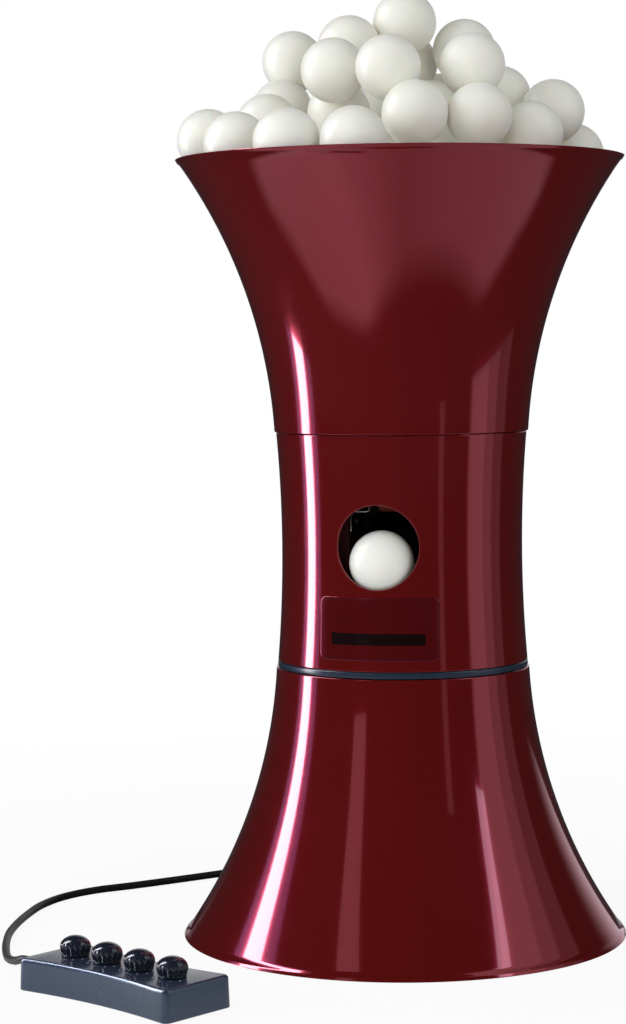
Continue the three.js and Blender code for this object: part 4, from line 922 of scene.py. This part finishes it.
class ROBOT_OT_head(PieceOperator, bpy.types.Operator):
    """Builds the throwing wheels, the guide and its screw"""

    bl_idname = "robot.head"
    bl_label = "Throwing head"

    def execute(self, context):
        half, wide, inner = 0.00625, WHEEL_RADIUS, WHEEL_RADIUS - 0.0077
        groove = ((0, 0), (0.0004, 0.0003), (0.0004, 0.0006), (0, 0.0009))
        tyre = [
            (inner, -half), (wide - 0.0012, -half), (wide - 0.0003, 0.0003 - half), (wide, 0.0012 - half),
            *ribs(-half, 1, wide, 0, 0.0022, 0.0019, 5, groove),
            (wide, half - 0.0012), (wide - 0.0003, half - 0.0003), (wide - 0.0012, half), (inner, half),
        ]
        seat, dish = inner - 0.0003, half - 0.003
        for name, side in (("top", 1), ("bottom", -1)):
            spot = (0, -WHEEL_SETBACK, OUTLET_HEIGHT + side * WHEEL_OFFSET)
            wheel = name + "_wheel"
            tread = moved(revolved(tyre, 128), along("x", spot))
            make(name + "_tread", tread, "tread", wheel, "tread_rubber", [wheel + "_tread"], 50)
            tip = abs(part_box(wheel + "_hub")[1 if side > 0 else 0].x)
            hub = rounded(
                [(0, -half), (0.006, -half), (0.007, -dish), (0.0145, -dish), (0.0155, -half), (seat, -half),
                 (seat, half), (0.0155, half), (0.0145, dish), (0.007, dish), (0.006, half), (0.0025, half),
                 (0.0025, tip), (0, tip)],
                [0, 0.0004, 0.0008, 0.0008, 0.0004, 0.0004, 0.0004, 0.0004, 0.0008, 0.0008, 0.0004, 0.0002,
                 0.0003, 0],
            )
            part = moved(revolved(hub), along("x" if side > 0 else "-x", spot))
            make(name + "_hub", part, "nylon", wheel, "nylon", [wheel + "_hub"])

        low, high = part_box("guide_bracket")
        thick = 0.0006
        near, end, shelf = low.x + thick, high.x - thick, OUTLET_HEIGHT + 0.0202 + thick
        line = rounded([(near, low.z), (near, shelf), (end, shelf), (end, high.z)], [0, 0.0026, 0.0026, 0], 7)
        line = line[7:-7]
        way = unit(np.gradient(line, axis=0))
        out = thick * np.stack([-way[:, 1], way[:, 0]], -1)
        rails = [
            np.insert(line + s * out, 1, y, axis=1)
            for s, y in ((1, low.y), (1, high.y), (-1, high.y), (-1, low.y))
        ]
        part = np.stack(rails, 1).reshape(-1, 3), capped_faces(len(line), 4)
        soften(make("ball_guide", part, "bright", "turret", "bright_steel", ["guide_bracket"]), 0.0002)

        low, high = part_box("guide_screw")
        spot = (low.x, (low.y + high.y) / 2, (low.z + high.z) / 2)
        outline = [(0, 0), (0.0026, 0), (0.0026, 0.0003), (0.0023, 0.0008), (0.0016, 0.00115),
                   (0.0011, 0.0012), (0.0008, 0.0006), (0, 0.0005)]
        head = moved(revolved(outline, 32), along("x", spot))
        make("guide_screw_head", head, "steel", "turret", "bright_steel", ["guide_screw"], 50)
        return {"FINISHED"}


HEAP_RINGS = [(15, 15), (9, 0), (3, 0)]
BED_PLACES = [
    (-3.03, -0.25), (-2.1, -2), (-1.15, -2.65), (-0.1, -2.78), (2.55, 1.25), (1.45, 2.35), (0.5, 2.7),
    (-0.5, 2.7), (-1.45, 2.25), (-2.5, 1.4), (0.2, 2.2), (-0.8, 1.95), (0.6, -1.7), (1.5, -1.25),
    (2.15, -0.45),
]
TOP_PLACES = [
    (-0.95, -0.05), (-2.05, -0.3), (0.3, 0.95), (2.35, 0.5), (-2.1, 0.85), (1.45, 0.85), (0.1, -1.25),
    (-0.85, -0.85), (-2.05, 1.4), (1.3, -0.7), (-0.15, 1.35), (0.85, 1.05), (-0.8, 0.05), (0, 0.5),
]


def heap_centres():
    """Ball centres by the part's rule: closed rings first, then each ball let down at its place.

    A ball comes down upright and stops where its centre is a pitch from another's, or at the wall.
    """
    placed = []
    bowl = FLARE_RADIUS + WALL + BALL_RADIUS + 0.0005

    def rest(x, y):
        square = bowl**2 - (NECK_RADIUS + FLARE_RADIUS - math.hypot(x, y)) ** 2
        wall = HOUSING_TOP - FLARE_INSET + math.sqrt(max(0, square))
        drops = [(BALL_PITCH**2 - (x - p[0]) ** 2 - (y - p[1]) ** 2, p[2]) for p in placed]
        return max([wall, *[z + math.sqrt(s) for s, z in drops if s > 0]])

    for count, degrees in HEAP_RINGS:
        radius = BALL_PITCH / (2 * math.sin(math.pi / count))
        turns = math.radians(degrees) + TAU * np.arange(count) / count
        spots = np.stack([radius * np.cos(turns), radius * np.sin(turns)], -1)
        height = max(rest(*spot) for spot in spots)
        placed += [(*spot, height) for spot in spots]
    for x, y in (*BED_PLACES, *TOP_PLACES):
        spot = (2 * BALL_RADIUS * x, 2 * BALL_RADIUS * y)
        placed.append((*spot, rest(*spot)))
    return np.array(placed)


def ball_piece(name, centres, body, node, rng):
    """Spheres at the centres as one piece, each with the UV map that places its seam."""
    rows, cols = BALL_GRID
    v, u = np.meshgrid(np.linspace(0, 1, rows + 1), np.linspace(0, 1, cols + 1), indexing="ij")
    seam = np.tile(np.stack([u, v], -1).reshape(-1, 2), (len(centres), 1))
    mesh = to_mesh(name, combine([ball_part(c, rng) for c in centres]), seam)
    place(name, mesh, "ball", body, "ball_white", [node], 80)


class ROBOT_OT_balls(PieceOperator, bpy.types.Operator):
    """Heaps the balls in the hopper and puts one in the outlet"""

    bl_idname = "robot.balls"
    bl_label = "Balls"

    def execute(self, context):
        rng = np.random.default_rng(HEAP_SEED)
        centres = heap_centres()
        bed = len(centres) - len(TOP_PLACES)
        ball_piece("heap_of_balls", centres[:bed], "ball_load", "ball_bed", rng)
        for i, centre in enumerate(centres[bed:], 1):
            ball_piece(f"heap_ball_{i:02d}", [centre], "ball_load", f"ball_{i:02d}", rng)
        low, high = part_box("outlet_ball")
        ball_piece("waiting_ball", [np.array((low + high) / 2)], "outlet_ball", "outlet_ball", rng)
        return {"FINISHED"}


class ROBOT_OT_remote(PieceOperator, bpy.types.Operator):
    """Builds the remote's two case halves and its printed scales"""

    bl_idname = "robot.remote"
    bl_label = "Remote"

    def execute(self, context):
        split, e, draft = REMOTE_HEIGHT / 2, REMOTE_EDGE, CASE_DRAFT / 2
        arc = [
            (CASE_DRAFT + e * (1 - math.sin(a)), REMOTE_HEIGHT - e * (1 - math.cos(a)))
            for a in np.linspace(TAU / 4, 0, 7)
        ]
        for half, levels in (
            ("bottom", [(0.0004, 0), (0, 0.0004), (draft, split)]), ("top", [(draft, split + 0.00002), *arc]),
        ):
            part = rounded_box(REMOTE_LENGTH, REMOTE_WIDTH, REMOTE_CORNER, levels, REMOTE_WAIST, 15)
            make("remote_" + half, moved(part, REMOTE_PLACE), "remote", "base", "remote_black",
                 ["remote_case_" + half])

        dot = revolved([(0, -0.0002), (0.00055, -0.0002), (0.00055, 0.00004), (0, 0.00006)], 12)
        dots = []
        for k in range(4):
            x = (k - 1.5) * KNOB_SPACING
            for turn in np.radians(np.linspace(-140, 140, 11) + 90):
                spot = (x + SCALE_RADIUS * math.cos(turn), SCALE_RADIUS * math.sin(turn), REMOTE_HEIGHT)
                dots.append(moved(dot, Matrix.Translation(spot)))
        make("knob_scales", moved(combine(dots), REMOTE_PLACE), "print", "base", "remote_black")
        return {"FINISHED"}


class ROBOT_OT_knobs(PieceOperator, bpy.types.Operator):
    """Builds the four fluted knobs"""

    bl_idname = "robot.knobs"
    bl_label = "Knobs"

    def execute(self, context):
        flutes = settings().flutes
        a = TAU * np.arange(flutes * 10) / (flutes * 10)
        wave = (0.5 - 0.5 * np.cos(flutes * a)) ** 0.7
        foot = KNOB_RADIUS - 0.0009
        skirt = [(0, 0, 0), (foot - 0.0004, 0, 0), (foot, 0.0003, 0), (foot, 0.0012, 0)]
        grip = [(foot + 0.0001 + 0.0008 * s, 0.0015 + 0.0033 * s, 1) for s in np.linspace(0, 1, 5)]
        rise = KNOB_HEIGHT - 0.005
        dome = [
            (KNOB_RADIUS * math.cos(t), 0.005 + rise * math.sin(t), max(0, 1 - 2.1 * t))
            for t in np.linspace(0, TAU / 4, 18)
        ]
        levels = np.array(skirt + grip + dome)
        r = levels[:, :1] - 0.001 * levels[:, 2:] * wave
        r[-1] = 0
        z = KNOB_LOW + levels[:, 1:2] + 0 * a
        points = np.stack([r * np.cos(a), r * np.sin(a), z], -1).reshape(-1, 3)
        faces = grid_faces(len(levels), len(a))
        for k in range(4):
            spot = Matrix.Translation(((k - 1.5) * KNOB_SPACING, 0, 0))
            name = f"knob_{k + 1}"
            part = moved((points, faces), REMOTE_PLACE @ spot)
            make(f"control_{name}", part, "knob", name, "knob_black", [name], 60)
        return {"FINISHED"}


class ROBOT_OT_inlet(PieceOperator, bpy.types.Operator):
    """Builds the power inlet at the back of the base"""

    bl_idname = "robot.inlet"
    bl_label = "Power inlet"

    def execute(self, context):
        low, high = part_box("power_inlet")
        seat, face = low.y, high.y
        outline = rounded(
            [(0, seat), (0.0085, seat), (0.0085, seat + 0.004), (0.006, seat + 0.004), (0.006, face),
             (0.0033, face), (0.0033, face - 0.01), (0, face - 0.01)],
            [0, 0.0004, 0.0004, 0.0002, 0.0006, 0.0004, 0.0002, 0],
        )
        pin = [(0, face - 0.0102), (0.0009, face - 0.0102), (0.0009, face - 0.0022), (0.0006, face - 0.0016),
               (0, face - 0.0015)]
        spot = along("y", (INLET_OFFSET, 0, COIL_TOP))
        socket = moved(revolved(outline, 64), spot)
        make("power_socket", socket, "inner", "base", "black_inner", ["power_inlet"])
        make("power_socket_pin", moved(revolved(pin, 24), spot), "steel", "base", "bright_steel")
        return {"FINISHED"}


CAD_FINISHES = {
    "inner": ["base_plate", "base_deck", "turret_floor", "ball_tube", "feed_floor", "feed_disc", "feed_cap"],
    "frame": ["head_plate_left", "head_plate_right", "throat_plate"],
    "motor": ["pan_motor", "top_motor", "bottom_motor", "feed_motor"],
    "nylon": ["pan_gear", "pan_pinion"],
    "steel": ["pan_pivot", "feed_shaft"],
    "circuit": ["control_board", "remote_board"],
}


class ROBOT_OT_inside(PieceOperator, bpy.types.Operator):
    """Gives the pieces that stay as they are their finishes"""

    bl_idname = "robot.inside"
    bl_label = "Inner pieces"

    def execute(self, context):
        made = all_materials()
        for finish, names in CAD_FINISHES.items():
            for name in names:
                nodes[name].data.materials.clear()
                nodes[name].data.materials.append(made[finish])
        return {"FINISHED"}


def area_light(name, spot, size, power, colour, gloss):
    """A rectangular lamp aimed at the robot's middle, which either shows in gloss or lights the surfaces."""
    data = bpy.data.lights.new(name, "AREA")
    data.shape, data.size, data.size_y, data.energy = "RECTANGLE", *size, power
    data.color = colour
    lamp = bpy.data.objects.new(name, data)
    lamp.location = spot
    lamp.rotation_euler = (Vector(LAMP_AIM) - lamp.location).to_track_quat("-Z", "Y").to_euler()
    lamp.visible_glossy, lamp.visible_diffuse = gloss, not gloss
    lamp.visible_camera = False
    bpy.context.scene.collection.objects.link(lamp)


def floor_material(colour):
    """A pale floor: white to the camera, and to reflections a sheet whose brightness changes across it.

    To the camera its share of white grows with the distance. In reflections the floor is painted dark, and it
    glows as a painted reflection whose share is the product of the brightness across, the front edge, the
    round edge and the slanting notch of painted shade.
    """
    material, tree, shader = new_material("Studio floor")
    shader.inputs["Roughness"].default_value = 0.9
    shader.inputs["Specular IOR Level"].default_value = 0
    path, spot = add(tree, "LightPath").outputs, add(tree, "TexCoord").outputs["Object"]
    reach = add(tree, "VectorMath", {0: spot}, operation="LENGTH").outputs["Value"]
    rotation = (0, 0, -math.radians(SHEET_TURN))
    turned = add(tree, "Mapping", {"Vector": spot, "Rotation": rotation}).outputs["Vector"]
    axes = add(tree, "SeparateXYZ", {0: turned}).outputs
    slant = add(tree, "VectorMath", {0: turned, 1: SHEET_NOTCH}, operation="DOT_PRODUCT").outputs["Value"]
    across = graded(tree, axes["X"], (-SHEET_HALF, SHEET_HALF, 0, 1))
    sheet = add(tree, "ValToRGB", {"Fac": across})
    stops = sheet.color_ramp.elements
    for _ in range(len(SHEET_LEVELS) - 2):
        stops.new(0.5)
    for stop, (at, level) in zip(stops, SHEET_LEVELS):
        stop.position, stop.color = 0.5 + at / (2 * SHEET_HALF), (level, level, level, 1)
    lit = sheet.outputs["Color"]
    for value, limits in (
        (axes["Y"], (0, 0.09, 1, 0)), (reach, (0.74, 0.84, 1, 0)), (slant, (-0.66, -0.54, 0, 1)),
    ):
        lit = maths(tree, "MULTIPLY", lit, graded(tree, value, limits))
    # The floor's glow in reflections: a painted reflection, with painted shade in its notch
    mirrored = maths(tree, "MULTIPLY", path["Is Glossy Ray"], lit)
    shown = maths(tree, "MULTIPLY", path["Is Camera Ray"], graded(tree, reach, (0.22, 0.9, 0.92, 1)))
    glow = maths(tree, "MAXIMUM", shown, mirrored)
    # The floor's own colour, but near black to glossy rays: a painted dark reflection
    shades = {"A": (*colour, 1), "B": (0.06, 0.06, 0.06, 1), "Factor": path["Is Glossy Ray"]}
    feed(tree, shader.inputs["Base Color"], add(tree, "Mix", shades, data_type="RGBA").outputs["Result"])
    white = add(tree, "Emission").outputs[0]
    mix = add(tree, "MixShader", {"Fac": glow, 1: shader.outputs[0], 2: white})
    feed(tree, tree.nodes["Material Output"].inputs["Surface"], mix.outputs[0])
    return material


def white_world():
    """A surround that is white to the camera, and in reflections and through glass dim in front and brighter
    behind the robot.
    """
    world = bpy.data.worlds.new("Studio")
    world.use_nodes = True
    tree = world.node_tree
    path = add(tree, "LightPath").outputs
    depth = add(tree, "SeparateXYZ", {0: add(tree, "TexCoord").outputs["Generated"]}).outputs["Y"]
    behind = graded(tree, depth, (0.75, 1, 0.02, 0.8), interpolation_type="SMOOTHSTEP")
    shown = maths(tree, "MAXIMUM", path["Is Camera Ray"], behind)
    seen = maths(tree, "MAXIMUM", path["Is Camera Ray"], path["Is Glossy Ray"])
    either = maths(tree, "MAXIMUM", seen, path["Is Transmission Ray"])
    back = tree.nodes["Background"].inputs
    feed(tree, back["Strength"], graded(tree, either, (0, 1, 0.34, shown)))
    back["Color"].default_value = (1, 1, 1, 1)
    return world


class ROBOT_OT_stage(PieceOperator, bpy.types.Operator):
    """Sets up the pale floor, the studio lights and the white surround"""

    bl_idname = "robot.stage"
    bl_label = "Stage"

    def execute(self, context):
        look, s = settings(), FLOOR_HALF
        mesh = bpy.data.meshes.new("studio_floor")
        mesh.from_pydata([(-s, -s, 0), (s, -s, 0), (s, s, 0), (-s, s, 0)], [], [(0, 1, 2, 3)])
        mesh.materials.append(floor_material(look.floor_colour))
        floor = bpy.data.objects.new("studio_floor", mesh)
        floor.location.z = -FLOOR_DROP
        context.scene.collection.objects.link(floor)
        context.scene.world = white_world()
        for lamps, gloss in ((GLOSS_LAMPS, True), (SOFT_LAMPS, False)):
            for name, spot, size, power, share, colour in lamps:
                area_light(name, spot, size, getattr(look, power) * share, colour, gloss)
        context.scene.view_settings.view_transform = "Standard"
        return {"FINISHED"}


class ROBOT_PT_pieces(bpy.types.Panel):
    """The robot's sizes, colours and pieces"""

    bl_label = "Table tennis robot"
    bl_space_type = "VIEW_3D"
    bl_region_type = "UI"
    bl_category = "Robot"

    def draw(self, context):
        for name in RobotSettings.__annotations__:
            self.layout.prop(context.scene.table_tennis_robot, name)
        for operator in OPERATORS:
            self.layout.operator(operator.bl_idname)


OPERATORS = (
    ROBOT_OT_camera, ROBOT_OT_cord, ROBOT_OT_shells, ROBOT_OT_label, ROBOT_OT_head, ROBOT_OT_balls,
    ROBOT_OT_remote, ROBOT_OT_knobs, ROBOT_OT_inlet, ROBOT_OT_inside, ROBOT_OT_stage,
)


def register():
    for kind in (RobotSettings, *OPERATORS, ROBOT_PT_pieces):
        bpy.utils.register_class(kind)
    bpy.types.Scene.table_tennis_robot = PointerProperty(type=RobotSettings)


def unregister():
    del bpy.types.Scene.table_tennis_robot
    for kind in (ROBOT_PT_pieces, *reversed(OPERATORS), RobotSettings):
        bpy.utils.unregister_class(kind)


def main():
    """Builds every piece in order."""
    register()
    for operator in OPERATORS:
        group, name = operator.bl_idname.split(".")
        getattr(getattr(bpy.ops, group), name)()


if __name__ == "__main__":
    main()
